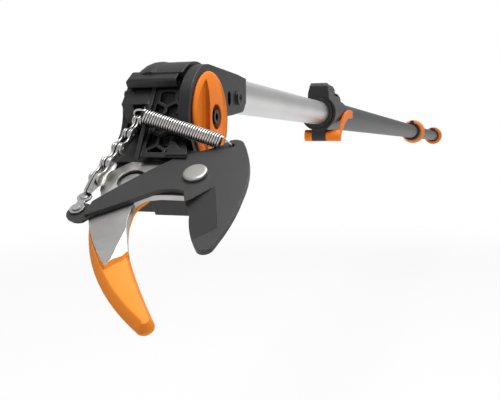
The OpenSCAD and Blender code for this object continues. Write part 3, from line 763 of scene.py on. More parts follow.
@dataclass
class DriveChain:
    """Plate-link chain from the drum in the housing down to the blade's lever.

    Sizes are in millimetres, in the head's own axes. A rim gives distances from a turned end and what the
    radius lacks there. The tail is the tapered last link, and its pin's line gives heights and radii.
    The runs give the first link that rides on each body.
    """

    pitch: float = 12.7
    links: int = 7
    plate_r: float = 3.8
    plate_t: float = 1.3
    plate_edge: float = 0.16
    waist: float = 0.45
    eye_steps: int = 14
    waist_steps: int = 6
    inner_gap: float = 0.55
    play: float = 0.1
    pin_r: float = 1.2
    pin_end: float = 0.4
    pin_rim: tuple[Flat, ...] = ((0.0, 0.5), (0.12, 0.15), (0.34, 0.0))
    roller_r: float = 2.9
    roller_rim: tuple[Flat, ...] = ((0.0, 0.2), (0.06, 0.06), (0.2, 0.0))
    roller_sides: int = 32
    drum_reach: float = 16.0
    lane: float = -17.2
    foot: Point = (86.5, -30.6, 7.45)
    tail_reach: float = 9.6
    tail_r: Flat = (3.5, 1.4)
    tail_steps: int = 10
    tail_lap: float = 0.2
    tail_pin: Point = (86.5, -31.8, 4.85)
    tail_pin_line: tuple[Flat, ...] = (
        (0.0, 1.45), (1.25, 1.45), (1.25, 2.05), (1.35, 2.1), (1.55, 2.1), (1.66, 1.95), (1.7, 1.6))
    tail_pin_sides: int = 28
    run_links: int = 2
    bunch: float = 0.8
    runs: dict[Body, int] = field(default_factory=lambda: {
        Body.CHAIN_TOP: 0, Body.CHAIN_MID: 2, Body.CHAIN_TAIL: 4})

    def place(self) -> Matrix:
        """Works out where the straight run of chain lies.

        Returns:
            The place of the first pin, with the chain along its first axis.
        """
        foot = Vector(self.foot)
        reach = math.hypot(foot.x, foot.z)
        touch = math.atan2(foot.z, foot.x) + math.acos(self.drum_reach / reach)
        top = Vector((self.drum_reach * math.cos(touch), self.lane, self.drum_reach * math.sin(touch)))
        run = foot - top
        yaw = math.atan2(run.y, run.x)
        dip = -math.atan2(run.z, math.hypot(run.x, run.y))
        start = run.length - self.links * self.pitch
        local = Matrix.Rotation(yaw, 4, "Z") @ Matrix.Rotation(dip, 4, "Y")
        return HEAD @ Matrix.Translation(top * MM) @ local @ Matrix.Translation((start * MM, 0, 0))

    def outline(self, lack: float) -> list[Flat]:
        """Traces a waisted link plate.

        Args:
            lack: How far the line lies inside the plate's edge.

        Returns:
            Points along the chain and across its plate, in millimetres.
        """
        middle, waist = self.pitch / 2, self.waist * self.plate_r
        flank = (middle ** 2 + waist ** 2 - self.plate_r ** 2) / (2 * (self.plate_r - waist))
        radius, hollow, rise = self.plate_r - lack, flank + lack, flank + waist
        meet = math.atan2(rise, middle)
        turn, half = 2 * math.pi - 2 * meet, math.pi / 2 - meet
        return [
            *arc((0.0, 0.0), radius, meet, turn, self.eye_steps),
            *arc((middle, -rise), hollow, math.pi / 2 + half, -2 * half, self.waist_steps)[1:-1],
            *arc((self.pitch, 0.0), radius, meet - math.pi, turn, self.eye_steps),
            *arc((middle, rise), hollow, -math.pi / 2 + half, -2 * half, self.waist_steps)[1:-1]]

    def plates(self, name: str, gap: float) -> Piece:
        """Makes a pair of link plates with rounded edges.

        Args:
            name: Name of the shape.
            gap: Distance from the middle of the chain to the inside of a plate.

        Returns:
            The shape that the run repeats.
        """
        shape = bmesh.new()
        edge, far = self.plate_edge, gap + self.plate_t
        steps = ((gap, edge), (gap + edge, 0.0), (far - edge, 0.0), (far, edge))
        for side in (1, -1):
            skin(shape, [
                [(x * MM, side * y * MM, z * MM) for x, z in self.outline(lack)] for y, lack in steps])
        return mesh_object(name, shape, smooth=50.0)

    def pin(self, name: str, rolls: bool) -> Piece:
        """Makes one riveted pin, with its roller where it carries one.

        Args:
            name: Name of the shape.
            rolls: Whether the pin carries a roller.

        Returns:
            The shape that the run repeats.
        """
        shape = bmesh.new()
        turned(shape, barrel(self.inner_gap + 2 * self.plate_t + self.pin_end, self.pin_r, self.pin_rim))
        if rolls:
            roller = barrel(self.inner_gap - self.play, self.roller_r, self.roller_rim)
            turned(shape, roller, self.roller_sides)
        return mesh_object(name, shape, smooth=50.0)

    def tail(self, place: Matrix, metal: Material) -> Piece:
        """Makes the tapered last link and the flush pin that holds it to the end link.

        Args:
            place: Place of the chain's first pin.
            metal: Finish of the links.

        Returns:
            The piece.
        """
        shape = bmesh.new()
        first, (wide, thin) = (self.links - 1) * self.pitch, self.tail_r
        turn = math.pi / 2 - math.asin((wide - thin) / self.tail_reach)
        line = arc((first, 0.0), wide, turn, 2 * math.pi - 2 * turn, self.tail_steps)
        line += arc((first + self.tail_reach, 0.0), thin, -turn, 2 * turn, self.tail_steps)
        near, far = self.inner_gap - self.tail_lap, self.inner_gap + self.plate_t
        for side in (1, -1):
            skin(shape, [[(x * MM, side * y * MM, z * MM) for x, z in line] for y in (near, far)])
        bmesh.ops.transform(shape, matrix=place, verts=shape.verts)
        x, y, low = self.tail_pin
        plate_points = len(shape.verts)
        turned(shape, [(low + z, r) for z, r in self.tail_pin_line], self.tail_pin_sides)
        stand(shape, x, y, plate_points)
        piece = mesh_object("tail_link", shape, smooth=40.0)
        piece.data.materials.append(metal)
        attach(piece, Body.CHAIN_TAIL.value)
        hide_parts("chain_end")
        return piece

    def build(self, metal: Material) -> list[Piece]:
        """Lays the links of each moving run and hands them to their bodies.

        Args:
            metal: Finish of the links.

        Returns:
            One piece for each run, and the tail.
        """
        outer = self.plates("outer_plate_shape", self.inner_gap + self.plate_t + self.play)
        inner = self.plates("inner_plate_shape", self.inner_gap)
        pin = self.pin("roller_pin_shape", True)
        bare = self.pin("bare_pin_shape", False)
        tree = run_tree(("Outer", "Inner", "Pin", "Last"))
        place = self.place()
        made = []
        for letter, (body, first) in zip("abc", self.runs.items()):
            pairs, last = self.run_links // 2, first + self.run_links
            # Each row's shape, how many there are, the first one's pin and the pins from one to the next.
            rows = {
                "Outer": (outer, pairs, first + 1, 2), "Inner": (inner, pairs, first, 2),
                "Pin": (pin, self.run_links, first, 1), "Last": (bare, int(last == self.links - 1), last, 2)}
            inputs = {"Finish": metal}
            for row, (shape, count, start, stride) in rows.items():
                inputs |= {
                    f"{row} shape": shape, f"{row} count": count,
                    f"{row} first": (start * self.pitch * MM, 0.0, 0.0),
                    f"{row} step": (stride * self.pitch * MM, 0.0, 0.0)}
            holder = placed("run", bpy.data.meshes.new("run"))
            piece = grown(holder, tree, inputs, f"links_{body.value}")
            piece.data.transform(place)
            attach(piece, body.value)
            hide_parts(*(f"chain_{kind}_{letter}" for kind in ("outer", "inner", "pins")))
            if body is Body.CHAIN_TOP:
                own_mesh(piece)
            made.append(piece)
        made.append(self.tail(place, metal))
        for shape in (outer, inner, pin, bare):
            bpy.data.objects.remove(shape)
        return made


@dataclass
class ReturnSpring:
    """Close-wound tension spring that opens the blade, from its loop on the guide wall to the blade's rim.

    Sizes are in millimetres and angles in degrees, in the head's own axes. The bridge joins loop and winding,
    with its height over the winding's radius. Each leave gives a distance past the winding and a change of
    its radius. The hook's points lie about the blade's hole. The two gives, as shares of the way to the hole,
    are not used, and the wire is not drawn out as the blade shuts.
    """

    start: Point = (32.5, -12.6, 23.1)
    end: Point = (37.7, 34.3, 8.0)
    coil_start: float = 1.3
    wire_d: float = 1.3
    wire_sides: int = 12
    outside: float = 9.2
    turns: int = 32
    steps: int = 20
    loop: Point = (30.0, -15.8, 22.6)
    loop_r: float = 3.0
    loop_from: float = 285.0
    loop_sweep: float = -216.0
    loop_steps: int = 24
    bridge: Point = (-1.4, -1.5, -0.3)
    leave: tuple[Flat, ...] = ((1.4, -0.2), (2.9, -0.9))
    leave_steps: int = 8
    hole: Point = (39.1, 41.1, 6.4)
    over_hole: Point = (0.0, -1.1, 2.1)
    hook: tuple[Point, ...] = ((0.0, -0.3, 1.0), (0.0, -0.1, -0.4), (0.0, -0.1, -2.6))
    give: Flat = (0.88, 0.975)

    def coil_r(self) -> float:
        """Returns the radius of the winding's middle line."""
        return (self.outside - self.wire_d) / 2

    def path(self) -> list[Vector]:
        """Winds the middle line of the wire.

        Returns:
            Points in the part's frame.
        """
        start, end, hole = Vector(self.start), Vector(self.end), Vector(self.hole)
        axis = (end - start).normalized()
        side = axis.cross(Vector((0, 0, 1))).normalized()
        rise = side.cross(axis)
        span = (end - start).length
        radius = self.coil_r()

        def coil(along: float, turn: float, r: float) -> Vector:
            """Returns the point at a distance along the axis and a turn of the winding."""
            a = math.pi / 2 + 2 * math.pi * turn
            return start + axis * along + r * (math.cos(a) * side + math.sin(a) * rise)

        bend = arc(
            (0.0, 0.0), 1.0, math.radians(self.loop_from), math.radians(self.loop_sweep), self.loop_steps)
        points = [Vector(self.loop) + self.loop_r * Vector((0, y, z)) for y, z in bend]
        x, y, over = self.bridge
        points.append(start + Vector((x, y, radius + over)))
        total = self.turns * self.steps
        for k in range(total + 1):
            along = self.coil_start + (span - self.coil_start) * k / total
            points.append(coil(along, k / self.steps, radius))
        knots = [points[-1], *(coil(span + past, 0, radius + change) for past, change in self.leave)]
        knots.append(hole + Vector(self.over_hole))
        for here, ahead in zip(knots, knots[1:]):
            points += [here.lerp(ahead, k / self.leave_steps) for k in range(1, self.leave_steps + 1)]
        points += [hole + Vector(spot) for spot in self.hook]
        return [HEAD @ (point * MM) for point in points]

    def mark_crest(self, mesh: bpy.types.Mesh) -> None:
        """Keeps on each point how far out of the winding it lies, from the wire's middle to its crest.

        Args:
            mesh: The drawn wire.
        """
        low, high = head_point(*self.start), head_point(*self.end)
        axis = (high - low).normalized()
        # The wire's finish paints shade on the flanks by this value.
        crest = mesh.attributes.new("crest", "FLOAT", "POINT")
        for mark, point in zip(crest.data, mesh.vertices):
            arm = point.co - low
            inside = 0 < arm.dot(axis) < (high - low).length
            out = (arm.cross(axis).length / MM - self.coil_r()) / (self.wire_d / 2)
            mark.value = min(max(out, 0.0), 1.0) if inside else 1.0

    def build(self, metal: Material) -> Piece:
        """Draws the wire between the housing and the blade.

        Args:
            metal: Finish of the wire.

        Returns:
            The spring.
        """
        points = self.path()
        curve = bpy.data.curves.new("spring_path", "CURVE")
        curve.dimensions = "3D"
        line = curve.splines.new("POLY")
        line.points.add(len(points) - 1)
        for knot, point in zip(line.points, points):
            knot.co = (*point, 1.0)
        inputs = {"Wire radius": self.wire_d / 2 * MM, "Sides": self.wire_sides, "Finish": metal}
        spring = grown(placed("spring_path", curve), wire_tree(), inputs, "tension_spring")
        self.mark_crest(spring.data)
        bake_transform(spring)
        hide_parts("return_spring")
        return spring


def bow(start: Flat, end: Flat, rise: float, steps: int) -> list[Flat]:
    """Draws an arc between two points.

    Args:
        start: First point.
        end: Point that the arc stops short of.
        rise: Height of the arc over its chord, to the left of its run.
        steps: Points on the arc.

    Returns:
        Points of the arc without its end.
    """
    dx, dy = end[0] - start[0], end[1] - start[1]
    chord = math.hypot(dx, dy)
    radius = (chord * chord / 4 + rise * rise) / (2 * rise)
    cx = (start[0] + end[0]) / 2 - dy / chord * (rise - radius)
    cy = (start[1] + end[1]) / 2 + dx / chord * (rise - radius)
    first = math.atan2(start[1] - cy, start[0] - cx)
    last = math.atan2(end[1] - cy, end[0] - cx)
    turn = -((first - last) % math.tau) if rise > 0 else (last - first) % math.tau
    return arc((cx, cy), abs(radius), first, turn, steps)[:-1]


def inset(line: list[Flat], by: float) -> list[Flat]:
    """Moves a closed clockwise line inwards.

    Args:
        line: Points of the line.
        by: Distance, or less than nothing to move it outwards.

    Returns:
        The moved points.
    """
    sharpest, farthest = 0.3, 1.6
    moved = []
    for k, here in enumerate(line):
        back, ahead = line[k - 1], line[(k + 1) % len(line)]
        one = Vector((here[0] - back[0], here[1] - back[1])).normalized()
        two = Vector((ahead[0] - here[0], ahead[1] - here[1])).normalized()
        mean = (one + two).normalized()
        stretch = min(1 / max(mean.dot(one), sharpest), farthest)
        moved.append((here[0] + mean.y * by * stretch, here[1] - mean.x * by * stretch))
    return moved


def stacked(name: str, rings: list[tuple[float, list[Flat]]]) -> Piece:
    """Builds a closed form from lines at rising heights, laid out about the blade's pivot.

    Args:
        name: Name of the form.
        rings: Heights and lines, sideways and forward of the pivot, in millimetres.

    Returns:
        The form.
    """
    shape = bmesh.new()
    sides = skin(shape, [
        [head_point(PIVOT[0] + b, PIVOT[1] + a, z) for a, b in line] for z, line in rings])
    shape.faces.ensure_lookup_table()
    bmesh.ops.triangulate(shape, faces=shape.faces[len(sides):])
    return mesh_object(name, shape)


@dataclass
class HookSheath:
    """Orange sheath moulded round the hook's steel, with a soft chamfer along its front.

    Sizes are in millimetres, about the blade's pivot, and lines run sideways and forward of it. The rim gives
    heights over the bottom and insets. The fall gives shares of the slope under the top and of the chamfer.
    The line moves in by a share that grows along the back, from a place forward and over a length, falls
    round the tip and stays small along the throat. The lip is a ramp from the face to the steel's tip.
    """

    bottom: float = -4.2
    top: float = 1.7
    seat: float = -0.2
    seat_gap: float = 0.05
    seat_sink: float = 0.02
    cut_over: float = 8.0
    rim: tuple[Flat, ...] = ((0.0, 1.0), (0.3, 0.3), (1.0, 0.0))
    chamfer: float = 2.0
    slope: float = 3.6
    fall: tuple[Flat, ...] = ((1.0, 0.0), (0.9, 0.08), (0.1, 1.0), (0.02, 1.15), (0.0, 1.3))
    back_share: Flat = (0.6, 1.3)
    back_growth: Flat = (45.0, 27.0)
    tip_share: Flat = (1.9, 1.4)
    throat_share: float = 0.5
    ramp: float = 1.4
    ramp_sink: float = 0.1
    lip_root: tuple[Flat, ...] = ((-21.5, 56.0), (-30.0, 57.0))
    lip_foot: tuple[Flat, ...] = (
        (-36.2, 59.0), (-30.6, 66.4), (-26.4, 70.4), (-24.2, 68.2), (-22.2, 65.6), (-18.9, 62.9),
        (-17.5, 58.6))
    lip_crest: tuple[Flat, ...] = (
        (-36.0, 58.5), (-30.3, 64.9), (-26.5, 68.5), (-25.2, 66.2), (-23.9, 63.8), (-19.8, 61.1),
        (-18.4, 57.7))

    def stretches(self) -> tuple[list[Flat], list[Flat], list[Flat]]:
        """Draws the sheath's outer line.

        Returns:
            The line's stretches along the back, round the tip and along the throat.
        """
        back = [
            (-52.0, 11.3), (-54.6, 28.0), *bow((-54.6, 29.0), (-17.0, 87.0), 4.6, 30),
            *bow((-17.0, 87.0), (3.0, 102.3), 0.5, 8)]
        tip = bow((3.0, 102.3), (10.6, 98.0), 3.4, 14)
        throat = [
            *bow((10.4, 97.1), (-18.0, 59.1), -0.6, 12), *bow((-18.5, 58.2), (-29.6, 32.0), -1.0, 14),
            *bow((-30.2, 27.0), (-24.6, 11.3), -2.2, 12)]
        return back, tip, throat

    def shrunk(self, by: float) -> list[Flat]:
        """Moves the outer line inwards, far along the hook's back and little along its throat.

        Args:
            by: Mean distance.

        Returns:
            The moved points.
        """
        back, tip, throat = self.stretches()
        line = back + tip + throat
        moved = []
        for k, ((a, b), (c, d)) in enumerate(zip(line, inset(line, by))):
            grown_by = min(max((b - self.back_growth[0]) / self.back_growth[1], 0.0), 1.0)
            share = self.back_share[0] + self.back_share[1] * grown_by
            if k >= len(back):
                fallen = self.tip_share[1] * (k - len(back)) / len(tip)
                share = max(self.tip_share[0] - fallen, self.throat_share)
            moved.append((a + (c - a) * share, b + (d - b) * share))
        return moved

    def plate(self) -> list[Flat]:
        """Returns the line of the steel that the sheath holds."""
        return [
            *bow((-46.0, -14.9), (-57.0, -2.0), 1.2, 5), (-57.2, 4.0), (-55.4, 11.0), (-52.6, 15.5),
            (-53.4, 28.0), *bow((-53.4, 30.7), (-26.5, 68.2), 2.2, 8), (-26.5, 68.2), (-24.2, 63.5),
            (-20.0, 60.8), (-18.7, 57.6), *bow((-22.1, 50.0), (-29.2, 29.0), -0.9, 5),
            *bow((-29.4, 27.0), (-22.0, 14.9), -3.4, 6), (-16.9, 14.2), (-2.0, 14.5),
            *bow((4.0, 14.0), (14.0, -13.0), 7.0, 8), (8.0, -15.0)]

    def lip(self) -> Piece:
        """Makes the ramp that rises from the sheath's face to the tip of the steel.

        Returns:
            The ramp, with the steel's tip still filled.
        """
        foot, crest = (list(line + self.lip_root) for line in (self.lip_foot, self.lip_crest))
        return stacked("sheath_lip", [
            (self.seat, foot), (self.top - self.ramp_sink, foot), (self.top + self.ramp, crest)])

    def build(self, orange: Material) -> Piece:
        """Moulds the sheath and cuts the steel's seat out of it.

        Args:
            orange: Finish of the sheath.

        Returns:
            The sheath.
        """
        steps = [(self.bottom + over, by) for over, by in self.rim]
        steps += [(self.top - self.slope * under, share * self.chamfer) for under, share in self.fall]
        blank = stacked("sheath_blank", [(z, self.shrunk(by)) for z, by in steps])
        steel = inset(self.plate(), -self.seat_gap)
        seat = stacked(
            "sheath_seat", [(self.seat - self.seat_sink, steel), (self.top + self.cut_over, steel)])
        shape = carved(blank, ((Work.ADD, self.lip()), (Work.CUT, seat)))
        sheath = mesh_object("hook_sheath_moulding", shape, smooth=28.0)
        sheath.data.materials.append(orange)
        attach(sheath, Body.HEAD.value)
        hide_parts("hook_sheath")
        return sheath


@dataclass
class TiltKnob:
    """Orange knob that locks the head's angle, with a finger scoop on each side of its grip bar.

    Sizes are in millimetres, about the tilt axis. The dome gives heights and what the radius lacks there, and
    the recess's edge gives depths and what its radius has over. The scoop gives, from its mouth to its floor,
    heights, half widths of the bar and radii of the rounded side.
    """

    bore: float = 2.7
    recess_r: float = 7.8
    recess: float = 3.6
    recess_edge: tuple[Flat, ...] = ((0.0, 0.5), (0.15, 0.15), (0.5, 0.0))
    sides: int = 128
    dome: tuple[Flat, ...] = (
        (0.5, 0.0), (1.0, 0.2), (1.5, 0.8), (2.2, 2.4), (3.2, 5.4), (4.1, 9.4), (4.7, 14.4), (5.0, 19.6))
    scoop: tuple[Point, ...] = (
        (8.0, 11.2, 25.4), (3.0, 11.2, 25.4), (2.4, 11.3, 25.2), (2.0, 11.5, 24.2), (1.6, 11.9, 22.6),
        (1.25, 12.5, 20.4), (1.05, 13.2, 18.2), (0.95, 13.9, 16.6))
    scoop_steps: int = 32

    def body(self, radius: float) -> Piece:
        """Turns the domed knob without its scoops.

        Args:
            radius: Radius of the knob.

        Returns:
            The turned knob with its bore and recess.
        """
        crown = self.dome[-1][0]
        floor = crown - self.recess
        line = [(0.0, self.bore), (0.0, radius)]
        line += [(y, radius - lack) for y, lack in self.dome]
        line += [(crown - down, self.recess_r + over) for down, over in self.recess_edge]
        line += [(floor, self.recess_r), (floor, self.bore)]
        shape = bmesh.new()
        turned(shape, line, self.sides, unit=1.0, bored=True)
        return mesh_object("knob_blank", shape)

    def scoops(self) -> Piece:
        """Makes the two leaf-shaped cutters.

        Returns:
            The cutters, as one shape.
        """
        shape = bmesh.new()
        for side in (1, -1):
            rings = []
            for y, bar, radius in self.scoop:
                sweep = math.acos(bar / radius)
                leaf = arc((0.0, 0.0), radius, -sweep, 2 * sweep, self.scoop_steps)
                rings.append([(side * x, y, z) for x, z in leaf])
            skin(shape, rings)
        return mesh_object("knob_scoops", shape)

    def build(self, orange: Material) -> Piece:
        """Turns the knob, cuts its scoops and sets it on the tilt axis.

        Args:
            orange: Finish of the knob.

        Returns:
            The knob.
        """
        low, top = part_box("knob")
        shape = carved(self.body((top.x - low.x) / 2 / MM), ((Work.CUT, self.scoops()),))
        spot = Matrix.Translation(((low.x + top.x) / 2, low.y, (low.z + top.z) / 2)) @ Matrix.Scale(MM, 4)
        bmesh.ops.transform(shape, matrix=spot, verts=shape.verts)
        knob = mesh_object("knob_moulding", shape, smooth=24.0)
        knob.data.materials.append(orange)
        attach(knob, Body.KNOB.value)
        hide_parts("knob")
        return knob


@dataclass(frozen=True)
class Rivet:
    """A turned rivet, in millimetres.

    Its spot lies sideways and forward of the blade's pivot. The foot's heights count from the underside of
    the plates and the head's from its seat, each with its radius.
    """

    spot: Flat
    seat: float
    shank_r: float
    foot: tuple[Flat, ...]
    head: tuple[Flat, ...]


@dataclass
class HeadRivets:
    """The blade's pivot rivet and the rivet in the hook plate's recess, turned with soft rims.

    Sizes are in millimetres, about the blade's pivot.
    """

    under: float = -12.0
    blade_top: float = 6.4
    head_gap: float = 0.05
    plate_top: float = 3.2
    recess: float = 2.2
    sides: int = 64

    def rivets(self) -> dict[str, Rivet]:
        """Lists the rivets by the name of the solid that each one stands for."""
        pivot = Rivet(
            (0.0, 0.0), self.blade_top + self.head_gap, 4.0,
            ((-2.2, 6.3), (-1.9, 6.9), (-1.4, 7.1), (0.0, 7.1)),
            ((0.0, 7.0), (0.15, 7.1), (1.5, 7.1), (1.9, 6.98), (2.22, 6.6), (2.36, 6.15), (2.4, 5.6),
             (2.4, 1.0)))
        plate = Rivet(
            (-40.0, 1.0), self.plate_top - self.recess, 3.0,
            ((-1.8, 4.7), (-1.5, 5.3), (-1.1, 5.5), (0.0, 5.5)),
            ((0.0, 6.7), (0.1, 6.8), (0.7, 6.8), (0.94, 6.5), (1.0, 6.1), (1.0, 1.0)))
        return {"pivot_rivet": pivot, "plate_rivet": plate}

    def build(self, metal: Material) -> list[Piece]:
        """Turns both rivets and sets them in the head.

        Args:
            metal: Finish of the rivets.

        Returns:
            The rivets.
        """
        made = []
        for node, form in self.rivets().items():
            profile = [(self.under + z, r) for z, r in form.foot]
            profile += [(self.under, form.shank_r), (form.seat, form.shank_r)]
            profile += [(form.seat + z, r) for z, r in form.head]
            shape = bmesh.new()
            turned(shape, profile, self.sides)
            stand(shape, PIVOT[0] + form.spot[1], PIVOT[1] + form.spot[0])
            rivet = mesh_object(f"{node}_turned", shape, smooth=40.0)
            rivet.data.materials.append(metal)
            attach(rivet, Body.HEAD.value)
            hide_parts(node)
            made.append(rivet)
        return made


@dataclass
class PullStrap:
    """Flat webbing that runs through the pole from the sliding handle to the drum in the head.

    Sizes are in millimetres and the roll of its edges in radians, in the part's frame.
    """

    width: float = 7.8
    thick: float = 1.1
    roll: float = 0.8
    middle: float = -2.0
    pitch: float = 12.0

    def build(self, cloth: Material) -> Piece:
        """Weaves the band with rolled edges and a UV map along its length.

        Args:
            cloth: Finish of the band.

        Returns:
            The strap.
        """
        low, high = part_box("pull_strap")
        shape = bmesh.new()
        band = shape.loops.layers.uv.new("band")
        count = max(2, round((high.x - low.x) / (self.pitch * MM)))
        flat, thin = self.width / 2 - self.thick / 2, self.thick / 2
        right = [(flat, -thin), *arc((flat, 0.0), thin, -self.roll, 2 * self.roll, 2), (flat, thin)]
        left = [(-y, -z) for y, z in right]
        section = left[-1:] + right + left[:-1]
        rows = []
        for k in range(count + 1):
            x = low.x + (high.x - low.x) * k / count
            rows.append([(x, (self.middle + y) * MM, z * MM) for y, z in section])
        for face in skin(shape, rows):
            for loop in face.loops:
                loop[band].uv = (loop.vert.co.x, loop.vert.co.y)
        strap = mesh_object("webbing_strap", shape)
        strap.data.materials.append(cloth)
        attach(strap, Body.STRAP.value)
        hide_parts("pull_strap")
        return strap


@dataclass
class Studio:
    """Pale floor, white backdrop, soft lamps and the camera of the photograph.

    Sizes are in metres. The floor fades out between two distances from its middle. A lamp over the head hangs
    nearer to the camera, higher and to the right of it by the three numbers of its place. A lamp's cloth is
    its width and height, and its power is in watts.
    """

    drop: float = 0.3
    reach: float = 14.0
    centre: float = 1.0
    fibre_mm: float = 25.0
    glow: float = 0.85
    fade: Flat = (0.9, 2.2)
    ambient: float = 0.42
    ceiling: float = 0.5
    horizon: Flat = (-0.1, 0.15)
    eye: Point = (2.3230, 0.1768, -0.0366)
    right: Point = (-0.315, 0.949, 0.0)
    up: Point = (-0.0737, -0.0244, 0.997)
    back: Point = (0.946, 0.314, 0.0776)
    lens_mm: float = 50.4
    sensor_mm: float = 36.0
    near: float = 0.01
    head_middle_mm: Point = (50.0, 5.0, 0.0)
    key_place: Point = (0.25, 1.65, 0.2)
    key_cloth: Flat = (1.0, 1.0)
    key_power: float = 29.0
    fill_place: Point = (1.3, 0.2, 1.3)
    fill_cloth: Flat = (1.2, 1.0)
    fill_power: float = 1.6
    pole_place: Point = (0.8, 0.3, 1.5)
    pole_aim: Point = (0.8, 0.0, 0.0)
    pole_cloth: Flat = (2.6, 0.8)
    pole_power: float = 11.0

    def backdrop(self) -> None:
        """Lights the world evenly, white behind the pruner and, under a dimmer ceiling, in its metal."""
        world = bpy.data.worlds.new("white_studio")
        bpy.context.scene.world = world
        tree = empty_tree(world)
        white = srgb("#ffffff")
        rays = add_node(tree, "ShaderNodeLightPath").outputs
        seen = add_node(
            tree, "ShaderNodeMath", None, {0: rays["Is Camera Ray"], 1: rays["Is Transmission Ray"]},
            operation="MAXIMUM")
        even = add_node(tree, "ShaderNodeBackground", {"Color": srgb("#f8f8f8"), "Strength": self.ambient})
        behind = add_node(tree, "ShaderNodeBackground", {"Color": white, "Strength": 1.0})
        sky = add_node(tree, "ShaderNodeTexCoord").outputs["Generated"]
        rise = add_node(tree, "ShaderNodeSeparateXYZ", None, {0: sky}).outputs["Z"]
        dimmed = add_node(
            tree, "ShaderNodeMapRange", {1: self.horizon[0], 2: self.horizon[1], 3: 1.0, 4: self.ceiling},
            {0: rise})
        gloss = add_node(tree, "ShaderNodeBackground", {"Color": white}, {"Strength": dimmed.outputs[0]})
        lit = add_node(
            tree, "ShaderNodeMixShader", None,
            {0: rays["Is Glossy Ray"], 1: even.outputs[0], 2: gloss.outputs[0]})
        shown = add_node(
            tree, "ShaderNodeMixShader", None, {0: seen.outputs[0], 1: lit.outputs[0], 2: behind.outputs[0]})
        add_node(tree, "ShaderNodeOutputWorld", None, {0: shown.outputs[0]})

    def paper(self, middle: Point) -> Material:
        """Makes the floor's paper.

        Args:
            middle: Point that the paper fades away from.

        Returns:
            The material.
        """
        # Matt white paper: faintly fibrous, bright to the camera and in the metal, and gone in the distance.
        paper = bpy.data.materials.new("matt_white_paper")
        tree = empty_tree(paper)
        rays = add_node(tree, "ShaderNodeLightPath").outputs
        place = add_node(tree, "ShaderNodeTexCoord").outputs["Object"]
        fibre = add_node(
            tree, "ShaderNodeTexNoise", {"Scale": 1 / MM / self.fibre_mm, "Detail": 3.0}, {"Vector": place})
        tone = add_node(
            tree, "ShaderNodeMix", {6: srgb("#f3f3f2"), 7: srgb("#f7f7f6")}, {0: fibre.outputs["Fac"]},
            data_type="RGBA")
        matt = add_node(tree, "ShaderNodeBsdfDiffuse", None, {"Color": tone.outputs[2]})
        glow = add_node(tree, "ShaderNodeEmission", {"Color": srgb("#ffffff"), "Strength": 1.0})
        through = add_node(
            tree, "ShaderNodeMath", None, {0: rays["Is Glossy Ray"], 1: rays["Is Transmission Ray"]},
            operation="MAXIMUM")
        shown = add_node(
            tree, "ShaderNodeMath", None, {0: rays["Is Camera Ray"], 1: through.outputs[0]},
            operation="MAXIMUM")
        seen = add_node(
            tree, "ShaderNodeMath", {1: self.glow}, {0: shown.outputs[0]}, operation="MULTIPLY")
        mixed = add_node(
            tree, "ShaderNodeMixShader", None, {0: seen.outputs[0], 1: matt.outputs[0], 2: glow.outputs[0]})
        away = add_node(tree, "ShaderNodeVectorMath", {1: middle}, {0: place}, operation="DISTANCE")
        fade = add_node(
            tree, "ShaderNodeMapRange", {1: self.fade[0], 2: self.fade[1]}, {0: away.outputs[1]},
            interpolation_type="SMOOTHSTEP")
        clear = add_node(tree, "ShaderNodeBsdfTransparent")
        laid = add_node(
            tree, "ShaderNodeMixShader", None, {0: fade.outputs[0], 1: mixed.outputs[0], 2: clear.outputs[0]})
        add_node(tree, "ShaderNodeOutputMaterial", None, {0: laid.outputs[0]})
        return paper

    def floor(self, low: Vector) -> None:
        """Lays the pale floor under the held-up pruner.

        Args:
            low: Lowest corner of the pruner.
        """
        level = low.z - self.drop
        corners = [(-1, -1), (1, -1), (1, 1), (-1, 1)]
        shape = bmesh.new()
        shape.faces.new([
            shape.verts.new((self.centre + x * self.reach, y * self.reach, level)) for x, y in corners])
        floor = mesh_object("studio_floor", shape)
        floor.data.materials.append(self.paper((self.centre, 0.0, level)))
        floor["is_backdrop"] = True

    def lamp(self, name: str, place: Vector, aim: Vector, cloth: Flat, power: float) -> None:
        """Hangs one soft lamp.

        Args:
            name: Name of the lamp.
            place: Where it hangs.
            aim: What it points at.
            cloth: Width and height of its cloth.
            power: Watts.
        """
        data = bpy.data.lights.new(name, "AREA")
        data.shape = "RECTANGLE"
        data.size, data.size_y = cloth
        data.energy = power
        lamp = placed(name, data)
        lamp.location = place
        lamp.rotation_euler = (aim - place).to_track_quat("-Z", "Y").to_euler()

    def lamps(self) -> None:
        """Hangs the key above the head, a low fill at its right and a long lamp over the pole."""
        head = head_point(*self.head_middle_mm)
        back, up, right = Vector(self.back), Vector((0, 0, 1)), Vector(self.right)
        over_head = {
            "key": (self.key_place, self.key_cloth, self.key_power),
            "fill": (self.fill_place, self.fill_cloth, self.fill_power)}
        for name, ((nearer, higher, aside), cloth, power) in over_head.items():
            self.lamp(name, head + back * nearer + up * higher + right * aside, head, cloth, power)
        place, aim = Vector(self.pole_place), Vector(self.pole_aim)
        self.lamp("over_pole", place, aim, self.pole_cloth, self.pole_power)

    def camera(self) -> None:
        """Sets the camera where the photograph was taken from."""
        data = bpy.data.cameras.new("photo_camera")
        data.sensor_fit = "HORIZONTAL"
        data.sensor_width = self.sensor_mm
        data.lens = self.lens_mm
        data.clip_start = self.near
        camera = placed("photo_camera", data)
        turn = Matrix((self.right, self.up, self.back)).transposed().to_4x4()
        camera.matrix_world = Matrix.Translation(self.eye) @ turn
        bpy.context.scene.camera = camera

    def build(self, low: Vector) -> None:
        """Builds the whole studio.

        Args:
            low: Lowest corner of the pruner.
        """
        bpy.context.scene.view_settings.view_transform = "Standard"
        self.camera()
        self.backdrop()
        self.floor(low)
        self.lamps()


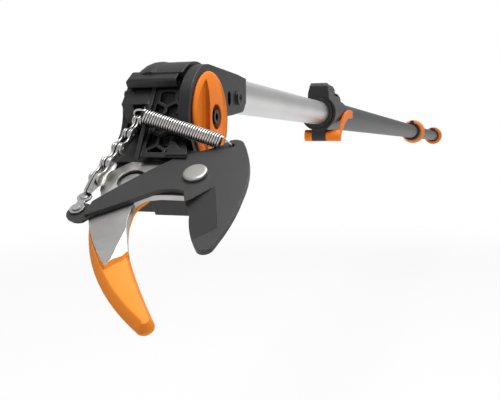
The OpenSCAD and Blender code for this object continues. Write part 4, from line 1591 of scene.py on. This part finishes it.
def main() -> None:
    """Builds the studio under the solids, makes the pieces and dresses the solids."""
    logging.basicConfig(level=logging.INFO, format="%(name)s: %(message)s")
    solid_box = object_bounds()
    Studio().build(solid_box[0])
    finishes = {entry.name: getattr(Finishes(), entry.name).material() for entry in fields(Finishes)}
    dress_nodes(finishes)
    pieces = [
        *DriveChain().build(finishes["zinc"]), *HeadRivets().build(finishes["rivet"]),
        HookSheath().build(finishes["soft_orange"]), TiltKnob().build(finishes["orange_nylon"]),
        ReturnSpring().build(finishes["wire"]), PullStrap().build(finishes["webbing"])]
    for piece in pieces:
        LOG.info("%s: %d faces", piece.name, len(piece.data.polygons))


if __name__ == "__main__":
    main()
